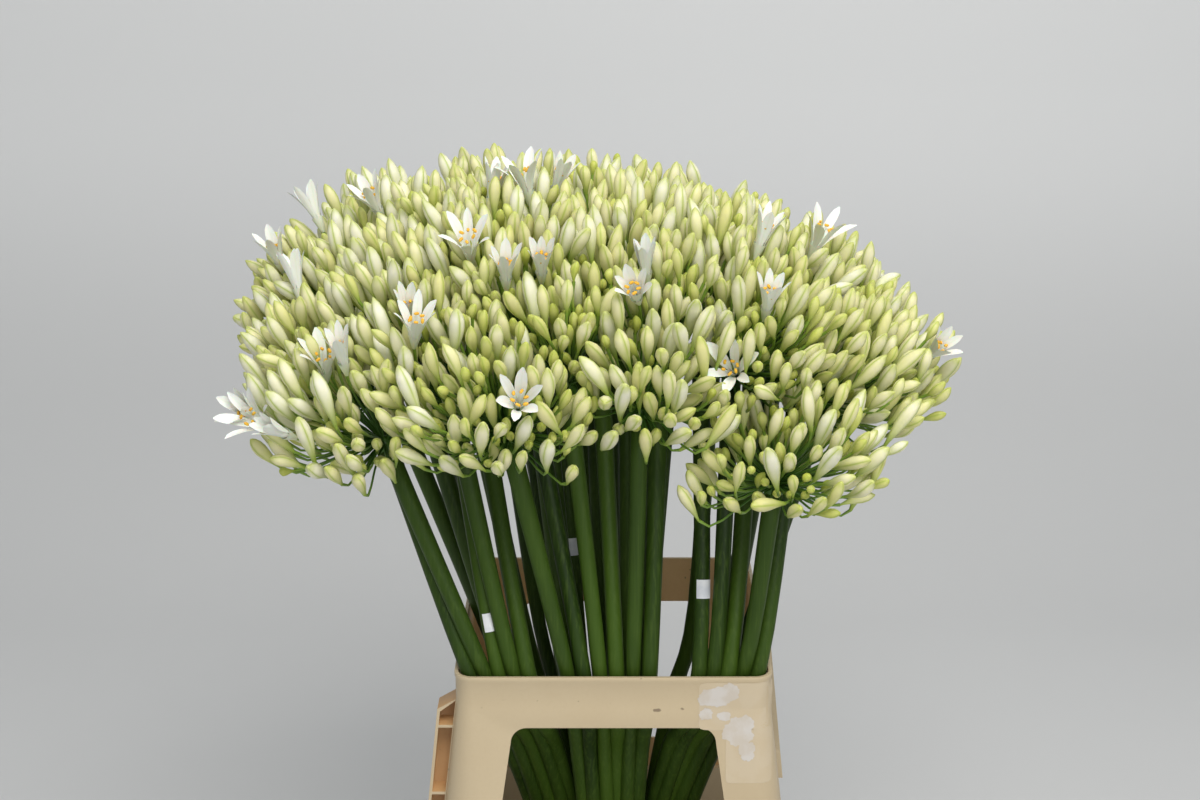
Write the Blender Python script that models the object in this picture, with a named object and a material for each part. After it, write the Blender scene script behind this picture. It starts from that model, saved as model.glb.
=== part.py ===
"""A bucket of cut white agapanthus: forty bud-stage umbels on thick green scapes, standing in
water in a square cream plastic bucket with a windowed collar. Metres, +Z up, the origin on the
ground under the middle of the bucket, the front of the bucket towards -Y."""

import math
import random

import bmesh
import bpy
from mathutils import Vector

# Bucket and collar
BUCKET_TOP = 0.335
BUCKET_FOOT_HALF = 0.150
BUCKET_MOUTH_HALF = 0.182
BUCKET_FLOOR = 0.004
BUCKET_CORNER = 0.032
WALL = 0.003
LIP_HALF = 0.1955
LIP_HEIGHT = 0.008
LIP_DROP = 0.011
LIP_SLOPE = 0.003
FOOT_CHAMFER = 0.004
COLLAR_TOP = 0.620
COLLAR_HALF = 0.160
COLLAR_STRAIGHT = 0.035
COLLAR_FLARE = 0.122
COLLAR_CORNER = 0.018
COLLAR_FOOT_CORNER = 0.041
COLLAR_WALL = 0.003
RIM_BEAD = 0.0009
RIM_BEAD_HEIGHT = 0.006
WINDOW_TOP = 0.565
WINDOW_SILL = 0.375
WINDOW_HALF_TOP = 0.104
WINDOW_CORNER = 0.016
WINDOW_CUT_HALF = 0.25
SEAT_GAP = 0.0003

# Interlocking ear on one upright of each side wall
EAR_REACH_TOP = 0.0185
EAR_REACH_FOOT = 0.0160
EAR_DEPTH = 0.026
EAR_START = 0.113
EAR_SLANT = 0.5
EAR_DROP_WALL = 0.033
EAR_DROP_EDGE = 0.045
EAR_FOOT = 0.350
EAR_RIB_PITCH = 0.074
EAR_FIRST_RIB = 0.064
EAR_PLATE = 0.003
EAR_BITE = 0.0015
POCKET_CLEAR = 0.0008
POCKET_OVERCUT = 0.010

# Water, with one plain hole for each bunch
WATER_TOP = 0.095
WATER_HOLE = 0.0262

# Flowers
HEADS = 40
BUNCH_SIZE = 10
SEED = 7
GOLDEN_ANGLE = math.pi * (3 - math.sqrt(5))
DOME_CENTRE = (-0.028, 0.010)
DOME_REACH = (0.258, 0.196)
DOME_TURN = 0.6
DOME_SCATTER = 0.03
DOME_SCATTER_Z = 0.008
CROWN_BASE_Z = 0.976
EDGE_DROP = (0.128, 0.092)
BACK_RISE = 0.032
NUDGES = {
    36: ((0.044, -0.004, -0.043), 0.88),
    27: ((-0.022, 0.012, 0.018), 1.0),
    35: ((-0.004, 0.016, 0.020), 1.0),
    38: ((-0.006, 0.000, 0.000), 1.04),
}
CELL_LIFT = 0.070
CELL_LEAN = (0.50, 0.40)
CELL_MARGIN = 0.0012
UMBEL_REACH = 0.146
UMBEL_REACH_EDGE = 0.158
UMBEL_SPREAD = math.radians(78)

# Scapes
STEM_RADIUS = 0.0072
STEM_RADIUS_TOP = 0.0088
STEM_SPACING = 0.0120
STEM_FOOT_Z = BUCKET_FLOOR + SEAT_GAP
TIE_Z = 0.170
RIM_Z = 0.622
RIM_SPACING = 0.0152
RIM_STRETCH = 1.25
RIM_ROUNDS = 150
BEND_POWER = 1.7
BEND_HEIGHTS = (0.300, 0.400, 0.510)
STEM_TOP_DROP = 0.0045
UMBEL_FOOT_DROP = 0.0040
# Where each bunch stands on the floor, its share of the mouth as (west, east, south, north), and
# how many of its stems lean on the rim in its front row
BUNCHES = {
    "left": {"foot": (-0.037, 0.000), "rim": (-0.1475, -0.087, -0.1435, 0.050), "row": 5},
    "right": {"foot": (0.037, 0.000), "rim": (0.087, 0.1475, -0.1435, 0.050), "row": 5},
    "front": {"foot": (0.000, -0.047), "rim": (-0.048, 0.037, -0.1435, -0.078), "row": 6},
    "back": {"foot": (0.000, 0.047), "rim": (-0.060, 0.037, -0.058, 0.080), "row": 0},
}
BAND_RADIUS = 0.0009
BAND_GAP = 0.0004
BAND_DROP = 0.020

# Bud grid on each umbel, coarser than life
OUTER_GRID = 5
INNER_GRID = 4
OUTER_FROM = 26
BUD_ROOT = 0.66
BUD_WAIST = 0.90
BUD_WAIST_WIDTH = 0.74
BUD_SHORTEST = 0.88
BUD_WOBBLE = 0.16


def clear_scene():
    for obj in list(bpy.data.objects):
        bpy.data.objects.remove(obj)


def collection(name, hidden=False):
    made = bpy.data.collections.new(name)
    bpy.context.scene.collection.children.link(made)
    made.hide_render = hidden
    return made


def material(name, colour, roughness):
    made = bpy.data.materials.new(name)
    made.use_nodes = True
    shader = made.node_tree.nodes["Principled BSDF"]
    shader.inputs["Base Color"].default_value = (*colour, 1.0)
    shader.inputs["Roughness"].default_value = roughness
    shader.inputs["Metallic"].default_value = 0.0
    return made


def mesh_object(name, points, faces, home, finish):
    mesh = bpy.data.meshes.new(name)
    mesh.from_pydata([tuple(p) for p in points], [], faces)
    mesh.validate()
    obj = bpy.data.objects.new(name, mesh)
    home.objects.link(obj)
    if finish:
        mesh.materials.append(finish)
    return obj


def add_boolean(obj, cutter, operation):
    modifier = obj.modifiers.new(cutter.name, "BOOLEAN")
    modifier.operation = operation
    modifier.object = cutter
    cutter.hide_render = True
    cutter.display_type = "WIRE"


# Rounded square sections, lofted


def rounded_square(half, corner, z, steps=4):
    """Points of a rounded square section at height z, anticlockwise from +X."""
    points = []
    inner = half - corner
    for quarter in range(4):
        start = quarter * math.pi / 2
        signs = ((1, 1), (-1, 1), (-1, -1), (1, -1))[quarter]
        centre = Vector((inner * signs[0], inner * signs[1]))
        for step in range(steps + 1):
            angle = start + step / steps * math.pi / 2
            points.append(
                Vector((centre.x + corner * math.cos(angle), centre.y + corner * math.sin(angle), z))
            )
    return points


def loft(name, sections, home, finish, closed=False):
    """Joins sections, each (half width, corner radius, height), and caps or closes the ends."""
    rings = [rounded_square(*section) for section in sections]
    count = len(rings[0])
    points = [p for ring in rings for p in ring]
    faces = []
    spans = len(rings) if closed else len(rings) - 1
    for low in range(spans):
        high = (low + 1) % len(rings)
        for k in range(count):
            after = (k + 1) % count
            faces.append(
                (low * count + k, low * count + after, high * count + after, high * count + k)
            )
    if not closed:
        faces.append(tuple(reversed(range(count))))
        faces.append(tuple(range((len(rings) - 1) * count, len(rings) * count)))
    return mesh_object(name, points, faces, home, finish)


def prism(name, outline, start, depth, home, finish=None):
    """Extrudes an outline of (x, z) points along Y, from start over depth."""
    count = len(outline)
    points = [(x, start, z) for x, z in outline] + [(x, start + depth, z) for x, z in outline]
    faces = [tuple(range(count)), tuple(reversed(range(count, 2 * count)))]
    for k in range(count):
        after = (k + 1) % count
        faces.append((k, k + count, after + count, after))
    obj = mesh_object(name, points, faces, home, finish)
    shape = bmesh.new()
    shape.from_mesh(obj.data)
    bmesh.ops.recalc_face_normals(shape, faces=shape.faces)
    shape.to_mesh(obj.data)
    shape.free()
    return obj


# Bucket, collar and water


def collar_half(z):
    """Outer half width of the collar at height z."""
    below = max(0.0, COLLAR_TOP - COLLAR_STRAIGHT - z)
    return COLLAR_HALF + COLLAR_FLARE * below


def bucket_half(z):
    """Outer half width of the bucket's wall at height z."""
    return BUCKET_FOOT_HALF + (BUCKET_MOUTH_HALF - BUCKET_FOOT_HALF) * z / BUCKET_TOP


def make_bucket(home, finish):
    inner = BUCKET_CORNER - WALL
    lip = BUCKET_CORNER + LIP_HALF - BUCKET_MOUTH_HALF
    under = BUCKET_TOP - LIP_DROP
    sections = [
        (BUCKET_FOOT_HALF - FOOT_CHAMFER, BUCKET_CORNER - FOOT_CHAMFER, 0.0),
        (bucket_half(FOOT_CHAMFER), BUCKET_CORNER, FOOT_CHAMFER),
        (bucket_half(under), BUCKET_CORNER, under),
        (LIP_HALF, lip, under + LIP_SLOPE),
        (LIP_HALF, lip, BUCKET_TOP + LIP_HEIGHT),
        (LIP_HALF - WALL, lip - WALL, BUCKET_TOP + LIP_HEIGHT),
        (LIP_HALF - WALL, lip - WALL, BUCKET_TOP),
        (bucket_half(BUCKET_TOP) - WALL, inner, BUCKET_TOP),
        (bucket_half(BUCKET_FLOOR) - WALL, inner, BUCKET_FLOOR),
    ]
    return loft("bucket", sections, home, finish)


def window_outline():
    """A trapezium with rounded corners, wider at the sill, as (x, z) points."""
    low = WINDOW_HALF_TOP + COLLAR_FLARE * (WINDOW_TOP - WINDOW_SILL)
    corners = [
        (low, WINDOW_SILL, -90),
        (WINDOW_HALF_TOP, WINDOW_TOP, 0),
        (-WINDOW_HALF_TOP, WINDOW_TOP, 90),
        (-low, WINDOW_SILL, 180),
    ]
    points = []
    for x, z, start in corners:
        centre_x = x - math.copysign(WINDOW_CORNER, x)
        centre_z = z - math.copysign(WINDOW_CORNER, z - (WINDOW_TOP + WINDOW_SILL) / 2)
        for step in range(4):
            angle = math.radians(start + 30 * step)
            points.append(
                (centre_x + WINDOW_CORNER * math.cos(angle), centre_z + WINDOW_CORNER * math.sin(angle))
            )
    return points


def ear_edge(z):
    """How far the ear stands out from the wall at height z."""
    share = (COLLAR_TOP - EAR_DROP_EDGE - z) / (COLLAR_TOP - EAR_DROP_EDGE - EAR_FOOT)
    return EAR_REACH_TOP + (EAR_REACH_FOOT - EAR_REACH_TOP) * share


def ear_outline(reach_in, inset, top_wall, top_edge, foot):
    """A strip beside the flaring wall, out to the ear's edge less an inset, as (x, z) points."""
    return [
        (-(collar_half(top_wall) + reach_in), top_wall),
        (-(collar_half(foot) + reach_in), foot),
        (-(collar_half(foot) + ear_edge(foot) - inset), foot),
        (-(collar_half(top_edge) + ear_edge(top_edge) - inset), top_edge),
    ]


def make_ear(cutters, side):
    """A box beside one upright, and the pockets between its ribs, for the front left corner.
    side -1 turns both half round for the rear right corner."""
    start = -EAR_START - EAR_DEPTH
    top_wall = COLLAR_TOP - EAR_DROP_WALL
    top_edge = COLLAR_TOP - EAR_DROP_EDGE
    label = "front_left" if side > 0 else "rear_right"
    box = prism(
        f"ear_{label}",
        ear_outline(-EAR_BITE, 0.0, top_wall, top_edge, EAR_FOOT),
        start, EAR_DEPTH, cutters,
    )
    edges = [COLLAR_TOP - EAR_FIRST_RIB - EAR_RIB_PITCH * k for k in range(5)]
    pockets = []
    for number, (high, low) in enumerate(zip([None, *edges], edges)):
        top = (top_wall - EAR_PLATE if high is None else high - EAR_PLATE / 2)
        out = (top_edge - EAR_PLATE if high is None else top)
        bottom = max(low + EAR_PLATE / 2, EAR_FOOT + EAR_PLATE)
        if bottom > out - EAR_PLATE:
            continue
        pockets.append(prism(
            f"pocket_{label}_{number}",
            ear_outline(POCKET_CLEAR, EAR_PLATE, top, out, bottom),
            start - POCKET_OVERCUT, EAR_DEPTH + POCKET_OVERCUT - EAR_PLATE, cutters,
        ))
    for obj in [box, *pockets]:
        for vertex in obj.data.vertices:
            vertex.co.y -= EAR_SLANT * COLLAR_FLARE * (top_wall - vertex.co.z)
        if side < 0:
            obj.rotation_euler.z = math.pi
    return box, pockets


def make_collar(home, cutters, finish):
    foot = BUCKET_TOP + SEAT_GAP
    shoulder = COLLAR_TOP - COLLAR_STRAIGHT
    bead = COLLAR_TOP - RIM_BEAD_HEIGHT
    inner = COLLAR_CORNER - COLLAR_WALL
    sections = [
        (collar_half(foot), COLLAR_FOOT_CORNER, foot),
        (COLLAR_HALF, COLLAR_CORNER, shoulder),
        (COLLAR_HALF, COLLAR_CORNER, bead),
        (COLLAR_HALF + RIM_BEAD, COLLAR_CORNER + RIM_BEAD, bead + 2 * RIM_BEAD),
        (COLLAR_HALF + RIM_BEAD, COLLAR_CORNER + RIM_BEAD, COLLAR_TOP),
        (COLLAR_HALF - COLLAR_WALL, inner, COLLAR_TOP),
        (COLLAR_HALF - COLLAR_WALL, inner, shoulder),
        (collar_half(foot) - COLLAR_WALL, COLLAR_FOOT_CORNER - COLLAR_WALL, foot),
    ]
    collar = loft("collar", sections, home, finish, closed=True)
    for side in (1, -1):
        box, pockets = make_ear(cutters, side)
        add_boolean(collar, box, "UNION")
        for pocket in pockets:
            add_boolean(collar, pocket, "DIFFERENCE")
    outline = window_outline()
    along_y = prism("window_front_back", outline, -WINDOW_CUT_HALF, 2 * WINDOW_CUT_HALF, cutters)
    along_x = prism("window_left_right", outline, -WINDOW_CUT_HALF, 2 * WINDOW_CUT_HALF, cutters)
    along_x.rotation_euler.z = math.pi / 2
    for cutter in (along_y, along_x):
        add_boolean(collar, cutter, "DIFFERENCE")
    return collar


def make_water(home, cutters, finish):
    gap = WALL + SEAT_GAP
    low = BUCKET_FLOOR + SEAT_GAP
    corner = BUCKET_CORNER - gap
    water = loft(
        "water",
        [(bucket_half(low) - gap, corner, low), (bucket_half(WATER_TOP) - gap, corner, WATER_TOP)],
        home, finish,
    )
    for name, bunch in BUNCHES.items():
        bpy.ops.mesh.primitive_cylinder_add(
            vertices=16, radius=WATER_HOLE, depth=2 * WATER_TOP,
            location=(*bunch["foot"], WATER_TOP / 2),
        )
        hole = bpy.context.object
        hole.name = f"water_hole_{name}"
        for owner in list(hole.users_collection):
            owner.objects.unlink(hole)
        cutters.objects.link(hole)
        add_boolean(water, hole, "DIFFERENCE")
    return water


# Where each flower stands


def place_bases():
    """Umbel bases on a dome, in sunflower order, each with its share of the way to the edge."""
    draw = random.Random(SEED)
    bases = []
    for k in range(HEADS):
        share = math.sqrt((k + 0.5) / HEADS)
        angle = k * GOLDEN_ANGLE + DOME_TURN
        out = share * (1 + draw.uniform(-DOME_SCATTER, DOME_SCATTER))
        east = out * math.cos(angle)
        north = out * math.sin(angle)
        base = Vector((
            DOME_CENTRE[0] + DOME_REACH[0] * east,
            DOME_CENTRE[1] + DOME_REACH[1] * north,
            CROWN_BASE_Z + BACK_RISE * north + draw.uniform(-DOME_SCATTER_Z, DOME_SCATTER_Z),
        ))
        base.z -= out * (EDGE_DROP[0] * east ** 2 + EDGE_DROP[1] * north ** 2)
        if k in NUDGES:
            base += Vector(NUDGES[k][0])
        bases.append((base, share))
    return bases


def share_out(bases):
    """Names the bunch of each umbel: the leftmost ten, the rightmost ten, the front and the back."""
    order = sorted(range(HEADS), key=lambda k: bases[k].x)
    middle = sorted(order[BUNCH_SIZE:-BUNCH_SIZE], key=lambda k: bases[k].y)
    return {
        "left": order[:BUNCH_SIZE],
        "right": order[-BUNCH_SIZE:],
        "front": middle[:BUNCH_SIZE],
        "back": middle[BUNCH_SIZE:],
    }


def rim_places(bases, bunches):
    """Where each scape passes the rim: its umbel's place, scaled into the bunch's share of the
    mouth, then nudged until each has a stem's width."""
    places = [None] * HEADS
    limits = [None] * HEADS
    for name, members in bunches.items():
        west, east, south, north = BUNCHES[name]["rim"]
        xs = [bases[k].x for k in members]
        ys = [bases[k].y for k in members]
        for k in members:
            across_x = (bases[k].x - min(xs)) / (max(xs) - min(xs)) - 0.5
            across_y = (bases[k].y - min(ys)) / (max(ys) - min(ys)) - 0.5
            places[k] = Vector((
                (west + east) / 2 + (east - west) * across_x * RIM_STRETCH,
                (south + north) / 2 + (north - south) * across_y * RIM_STRETCH,
            ))
            limits[k] = (west, east, south, north)
        nearest = sorted(members, key=lambda k: bases[k].y)[:BUNCHES[name]["row"]]
        for slot, k in enumerate(sorted(nearest, key=lambda k: bases[k].x)):
            places[k] = Vector((west + (east - west) * slot / (len(nearest) - 1), south))
    for _ in range(RIM_ROUNDS):
        for a in range(HEADS):
            for b in range(a + 1, HEADS):
                apart = places[b] - places[a]
                short = RIM_SPACING - apart.length
                if short > 0:
                    push = apart.normalized() * (short / 2)
                    places[a] -= push
                    places[b] += push
        for place, (west, east, south, north) in zip(places, limits):
            place.x = max(west, min(east, place.x))
            place.y = max(south, min(north, place.y))
    return places


def dome_way(base):
    """The dome's own outward direction at an umbel's base, which the cells open along."""
    way = Vector((
        CELL_LEAN[0] * (base.x - DOME_CENTRE[0]) / DOME_REACH[0],
        CELL_LEAN[1] * (base.y - DOME_CENTRE[1]) / DOME_REACH[1],
        1.0,
    ))
    return way.normalized()


def place_heads():
    """Each umbel's base, its axis along its scape, its reach, and where its scape leaves the rim."""
    placed = place_bases()
    bases = [base for base, share in placed]
    bunches = share_out(bases)
    rims = rim_places(bases, bunches)
    heads = []
    for k, ((base, share), rim) in enumerate(zip(placed, rims)):
        axis = (base - Vector((rim.x, rim.y, RIM_Z))).normalized()
        reach = UMBEL_REACH + (UMBEL_REACH_EDGE - UMBEL_REACH) * share ** 3
        if k in NUDGES:
            reach *= NUDGES[k][1]
        heads.append({
            "base": base, "axis": axis, "reach": reach, "rim": rim,
            "over": base + dome_way(base) * CELL_LIFT,
        })
    return heads, bunches


def cell_walls(heads, k):
    """Planes that umbel k stays inside, as (normal, distance): one halfway to each other umbel,
    and one short of each scape that runs up past it."""
    here = heads[k]
    walls = []
    for other, head in enumerate(heads):
        if other == k:
            continue
        between = (head["over"] + head["base"]) - (here["over"] + here["base"])
        middle = (head["over"] + head["base"] + here["over"] + here["base"]) / 4
        normal = between.normalized()
        walls.append((normal, normal.dot(middle) - CELL_MARGIN))
        foot = Vector((head["rim"].x, head["rim"].y, RIM_Z))
        along = head["base"] - foot
        share = (here["base"] - foot).dot(along) / along.length_squared
        if 0 < share < 1:
            nearest = foot + along * share
            normal = (nearest - here["base"]).normalized()
            walls.append((normal, normal.dot(nearest) - STEM_RADIUS_TOP - CELL_MARGIN))
    return walls


def free_reach(base, direction, reach, walls):
    """How far a bud can reach from base along direction before it meets a cell wall."""
    for normal, distance in walls:
        closing = normal.dot(direction)
        if closing > 1e-9:
            reach = min(reach, (distance - normal.dot(base)) / closing)
    return reach


def across(axis):
    """Two unit vectors square to axis and to each other."""
    first = axis.cross(Vector((0.31, 0.95, 0.05))).normalized()
    return first, axis.cross(first).normalized()


def square_to_cap(u, v, spread):
    """Maps a point of the square -1..1 onto a cap, as (polar angle, azimuth)."""
    if u == 0 and v == 0:
        return 0.0, 0.0
    if abs(u) > abs(v):
        radius, turn = u, math.pi / 4 * v / u
    else:
        radius, turn = v, math.pi / 2 - math.pi / 4 * u / v
    if radius < 0:
        radius, turn = -radius, turn + math.pi
    return 2 * math.asin(radius * math.sin(spread / 2)), turn


def make_umbel(name, head, walls, grid, draw, home, finish):
    """One umbel as a single skin round the scape's top, with a pointed bud on each square."""
    base, axis, reach = head["base"], head["axis"], head["reach"]
    side, up = across(axis)

    def point(u, v, share):
        polar, turn = square_to_cap(u, v, UMBEL_SPREAD)
        direction = (
            side * (math.sin(polar) * math.cos(turn))
            + up * (math.sin(polar) * math.sin(turn))
            + axis * math.cos(polar)
        )
        return base + direction * (share * free_reach(base, direction, reach, walls))

    def coordinate(step):
        return 2 * step / grid - 1

    nodes = {}
    points = []
    for row in range(grid + 1):
        for column in range(grid + 1):
            edge = row in (0, grid) or column in (0, grid)
            wobble = 0.0 if edge else BUD_WOBBLE / grid
            u = coordinate(column) + draw.uniform(-wobble, wobble)
            v = coordinate(row) + draw.uniform(-wobble, wobble)
            nodes[row, column] = (len(points), u, v)
            points.append(point(u, v, BUD_ROOT))
    faces = []
    for row in range(grid):
        for column in range(grid):
            ring = [
                nodes[row, column], nodes[row, column + 1],
                nodes[row + 1, column + 1], nodes[row + 1, column],
            ]
            middle_u = sum(n[1] for n in ring) / 4
            middle_v = sum(n[2] for n in ring) / 4
            waist = []
            length = draw.uniform(BUD_SHORTEST, 1.0)
            for _, u, v in ring:
                waist.append(len(points))
                points.append(point(
                    middle_u + (u - middle_u) * BUD_WAIST_WIDTH,
                    middle_v + (v - middle_v) * BUD_WAIST_WIDTH,
                    BUD_WAIST * length,
                ))
            tip = len(points)
            points.append(point(middle_u, middle_v, length))
            for k in range(4):
                after = (k + 1) % 4
                faces.append((ring[k][0], ring[after][0], waist[after], waist[k]))
                faces.append((waist[k], waist[after], tip))
    border = [nodes[0, c][0] for c in range(grid)] + [nodes[r, grid][0] for r in range(grid)]
    border += [nodes[grid, c][0] for c in range(grid, 0, -1)]
    border += [nodes[r, 0][0] for r in range(grid, 0, -1)]
    pole = len(points)
    points.append(base - axis * UMBEL_FOOT_DROP)
    for k, low in enumerate(border):
        faces.append((border[(k + 1) % len(border)], low, pole))
    return mesh_object(name, points, faces, home, finish)


# Scapes, tied in bunches


def packing():
    """Ten places in rows of three, four and three, a stem's width apart."""
    rise = STEM_SPACING * math.sqrt(3) / 2
    rows = [(-1, 0, 1), (-1.5, -0.5, 0.5, 1.5), (-1, 0, 1)]
    return [Vector((x * STEM_SPACING, (row - 1) * rise)) for row, xs in enumerate(rows) for x in xs]


def match(wanted, slots):
    """Gives each wanted place its slot, swapping pairs until the stems no longer cross."""
    chosen = list(range(len(slots)))
    reach = max(w.length for w in wanted)
    scaled = [w * (1.5 * STEM_SPACING / reach) for w in wanted]
    better = True
    while better:
        better = False
        for a in range(len(chosen)):
            for b in range(a + 1, len(chosen)):
                now = (scaled[a] - slots[chosen[a]]).length_squared
                now += (scaled[b] - slots[chosen[b]]).length_squared
                swapped = (scaled[a] - slots[chosen[b]]).length_squared
                swapped += (scaled[b] - slots[chosen[a]]).length_squared
                if swapped < now - 1e-12:
                    chosen[a], chosen[b] = chosen[b], chosen[a]
                    better = True
    return [slots[c] for c in chosen]


def stem_routes(heads, bunches):
    """For each umbel, the points that its scape follows from the bucket's floor to its top."""
    feet = [None] * HEADS
    for name, members in bunches.items():
        mean = sum((heads[k]["rim"] for k in members), Vector((0, 0))) / len(members)
        wanted = [heads[k]["rim"] - mean for k in members]
        for k, place in zip(members, match(wanted, packing())):
            feet[k] = Vector(BUNCHES[name]["foot"]) + place
    routes = []
    for low, head in zip(feet, heads):
        high = head["rim"]
        route = [(low.x, low.y, STEM_FOOT_Z), (low.x, low.y, TIE_Z)]
        for z in BEND_HEIGHTS:
            spot = low.lerp(high, ((z - TIE_Z) / (RIM_Z - TIE_Z)) ** BEND_POWER)
            route.append((spot.x, spot.y, z))
        route.append((high.x, high.y, RIM_Z))
        route.append(tuple(head["base"] - head["axis"] * STEM_TOP_DROP))
        routes.append([Vector(point) for point in route])
    return routes


def tube(name, route, radii, sides_step, cyclic=False):
    """A mesh tube along a route, welded closed, from a bevelled curve."""
    curve = bpy.data.curves.new(name, "CURVE")
    curve.dimensions = "3D"
    curve.bevel_depth = 1.0
    curve.bevel_resolution = sides_step
    curve.use_fill_caps = not cyclic
    spline = curve.splines.new("POLY")
    spline.points.add(len(route) - 1)
    spline.use_cyclic_u = cyclic
    for spot, place, radius in zip(spline.points, route, radii):
        spot.co = (*place, 1.0)
        spot.radius = radius
    obj = bpy.data.objects.new(name, curve)
    bpy.context.scene.collection.objects.link(obj)
    bpy.context.view_layer.update()
    graph = bpy.context.evaluated_depsgraph_get()
    mesh = bpy.data.meshes.new_from_object(obj.evaluated_get(graph))
    bpy.data.objects.remove(obj)
    shape = bmesh.new()
    shape.from_mesh(mesh)
    bmesh.ops.remove_doubles(shape, verts=shape.verts, dist=1e-6)
    bmesh.ops.recalc_face_normals(shape, faces=shape.faces)
    shape.to_mesh(mesh)
    shape.free()
    return mesh


def fuse(name, meshes, home, finish):
    """One body from overlapping meshes, by a single Boolean union."""
    loose = collection(f"{name}_pieces", hidden=True)
    for number, mesh in enumerate(meshes[1:]):
        loose.objects.link(bpy.data.objects.new(f"{name}_piece_{number}", mesh))
    body = bpy.data.objects.new(name, meshes[0])
    home.objects.link(body)
    modifier = body.modifiers.new("fuse", "BOOLEAN")
    modifier.operation = "UNION"
    modifier.operand_type = "COLLECTION"
    modifier.collection = loose
    modifier.solver = "MANIFOLD"
    bpy.context.view_layer.update()
    graph = bpy.context.evaluated_depsgraph_get()
    fused = bpy.data.meshes.new_from_object(body.evaluated_get(graph))
    body.modifiers.clear()
    body.data = fused
    for obj in list(loose.objects):
        bpy.data.objects.remove(obj)
    bpy.data.collections.remove(loose)
    fused.materials.clear()
    fused.materials.append(finish)
    return body


def make_stems(heads, bunches, home, finish):
    routes = stem_routes(heads, bunches)
    radii = [STEM_RADIUS] * 5 + [STEM_RADIUS * 1.06, STEM_RADIUS_TOP]
    for name, members in bunches.items():
        meshes = [tube(f"scape_{k}", routes[k], radii, 1) for k in members]
        fuse(f"stems_{name}", meshes, home, finish)


def make_band(name, foot, home, finish):
    """A rubber band drawn round the outline of the ten packed stems."""
    rise = STEM_SPACING * math.sqrt(3) / 2
    hull = [(1.5, 0), (1, 1), (-1, 1), (-1.5, 0), (-1, -1), (1, -1)]
    away = STEM_RADIUS + BAND_GAP + BAND_RADIUS
    route = []
    for k, (x, row) in enumerate(hull):
        corner = Vector((x * STEM_SPACING, row * rise))
        for angle in (60 * k - 30, 60 * k, 60 * k + 30):
            reach = away / math.cos(math.radians(15)) if angle == 60 * k else away
            turn = math.radians(angle)
            spot = corner + Vector((math.cos(turn), math.sin(turn))) * reach
            route.append(Vector((foot[0] + spot.x, foot[1] + spot.y, TIE_Z - BAND_DROP)))
    mesh = tube(name, route, [BAND_RADIUS] * len(route), 0, cyclic=True)
    mesh.materials.append(finish)
    home.objects.link(bpy.data.objects.new(name, mesh))


def main():
    clear_scene()
    home = collection("agapanthus_bucket")
    cutters = collection("cutters", hidden=True)
    cream = material("cream_plastic", (0.60, 0.50, 0.36), 0.5)
    clear = material("water", (0.75, 0.82, 0.80), 0.05)
    green = material("scape_green", (0.05, 0.13, 0.03), 0.45)
    buds = material("bud_green_white", (0.68, 0.74, 0.44), 0.5)
    rubber = material("rubber_band", (0.42, 0.30, 0.16), 0.7)

    make_bucket(home, cream)
    make_collar(home, cutters, cream)
    make_water(home, cutters, clear)

    heads, bunches = place_heads()
    draw = random.Random(SEED + 1)
    for k, head in enumerate(heads):
        grid = OUTER_GRID if k >= OUTER_FROM else INNER_GRID
        make_umbel(f"umbel_{k + 1:02d}", head, cell_walls(heads, k), grid, draw, home, buds)
    make_stems(heads, bunches, home, green)
    for name, bunch in BUNCHES.items():
        make_band(f"band_{name}", bunch["foot"], home, rubber)


main()
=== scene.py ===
"""The looks of a bucket of cut white agapanthus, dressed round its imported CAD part.

Every umbel is rebuilt as pedicels, buds and open flowers inside the same cell that the CAD solid
fills, the scapes follow the CAD routes, and the bucket and its collar are lofted again with finer
corners. Metres, +Z up, the front of the bucket towards -Y."""

import math
import random

import bpy
import numpy as np
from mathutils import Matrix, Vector


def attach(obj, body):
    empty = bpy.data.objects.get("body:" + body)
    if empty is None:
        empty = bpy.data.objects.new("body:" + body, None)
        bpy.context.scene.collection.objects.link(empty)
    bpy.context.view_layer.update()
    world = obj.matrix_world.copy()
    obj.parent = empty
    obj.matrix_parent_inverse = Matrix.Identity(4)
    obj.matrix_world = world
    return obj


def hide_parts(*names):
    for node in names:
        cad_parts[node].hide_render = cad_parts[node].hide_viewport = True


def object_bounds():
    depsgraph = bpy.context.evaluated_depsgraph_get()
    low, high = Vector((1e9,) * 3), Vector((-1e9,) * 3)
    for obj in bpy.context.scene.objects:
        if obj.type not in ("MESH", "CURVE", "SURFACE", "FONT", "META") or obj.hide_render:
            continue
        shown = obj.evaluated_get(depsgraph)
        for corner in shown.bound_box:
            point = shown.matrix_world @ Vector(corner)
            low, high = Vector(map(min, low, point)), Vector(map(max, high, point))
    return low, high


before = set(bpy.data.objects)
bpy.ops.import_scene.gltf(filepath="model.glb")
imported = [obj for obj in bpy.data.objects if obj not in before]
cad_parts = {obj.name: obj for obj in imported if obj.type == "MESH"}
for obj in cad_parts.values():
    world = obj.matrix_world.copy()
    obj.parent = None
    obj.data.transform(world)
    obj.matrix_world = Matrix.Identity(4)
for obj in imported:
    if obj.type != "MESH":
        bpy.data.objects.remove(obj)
CAD_BOX = [np.array(corner, dtype=float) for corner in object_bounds()]

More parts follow.
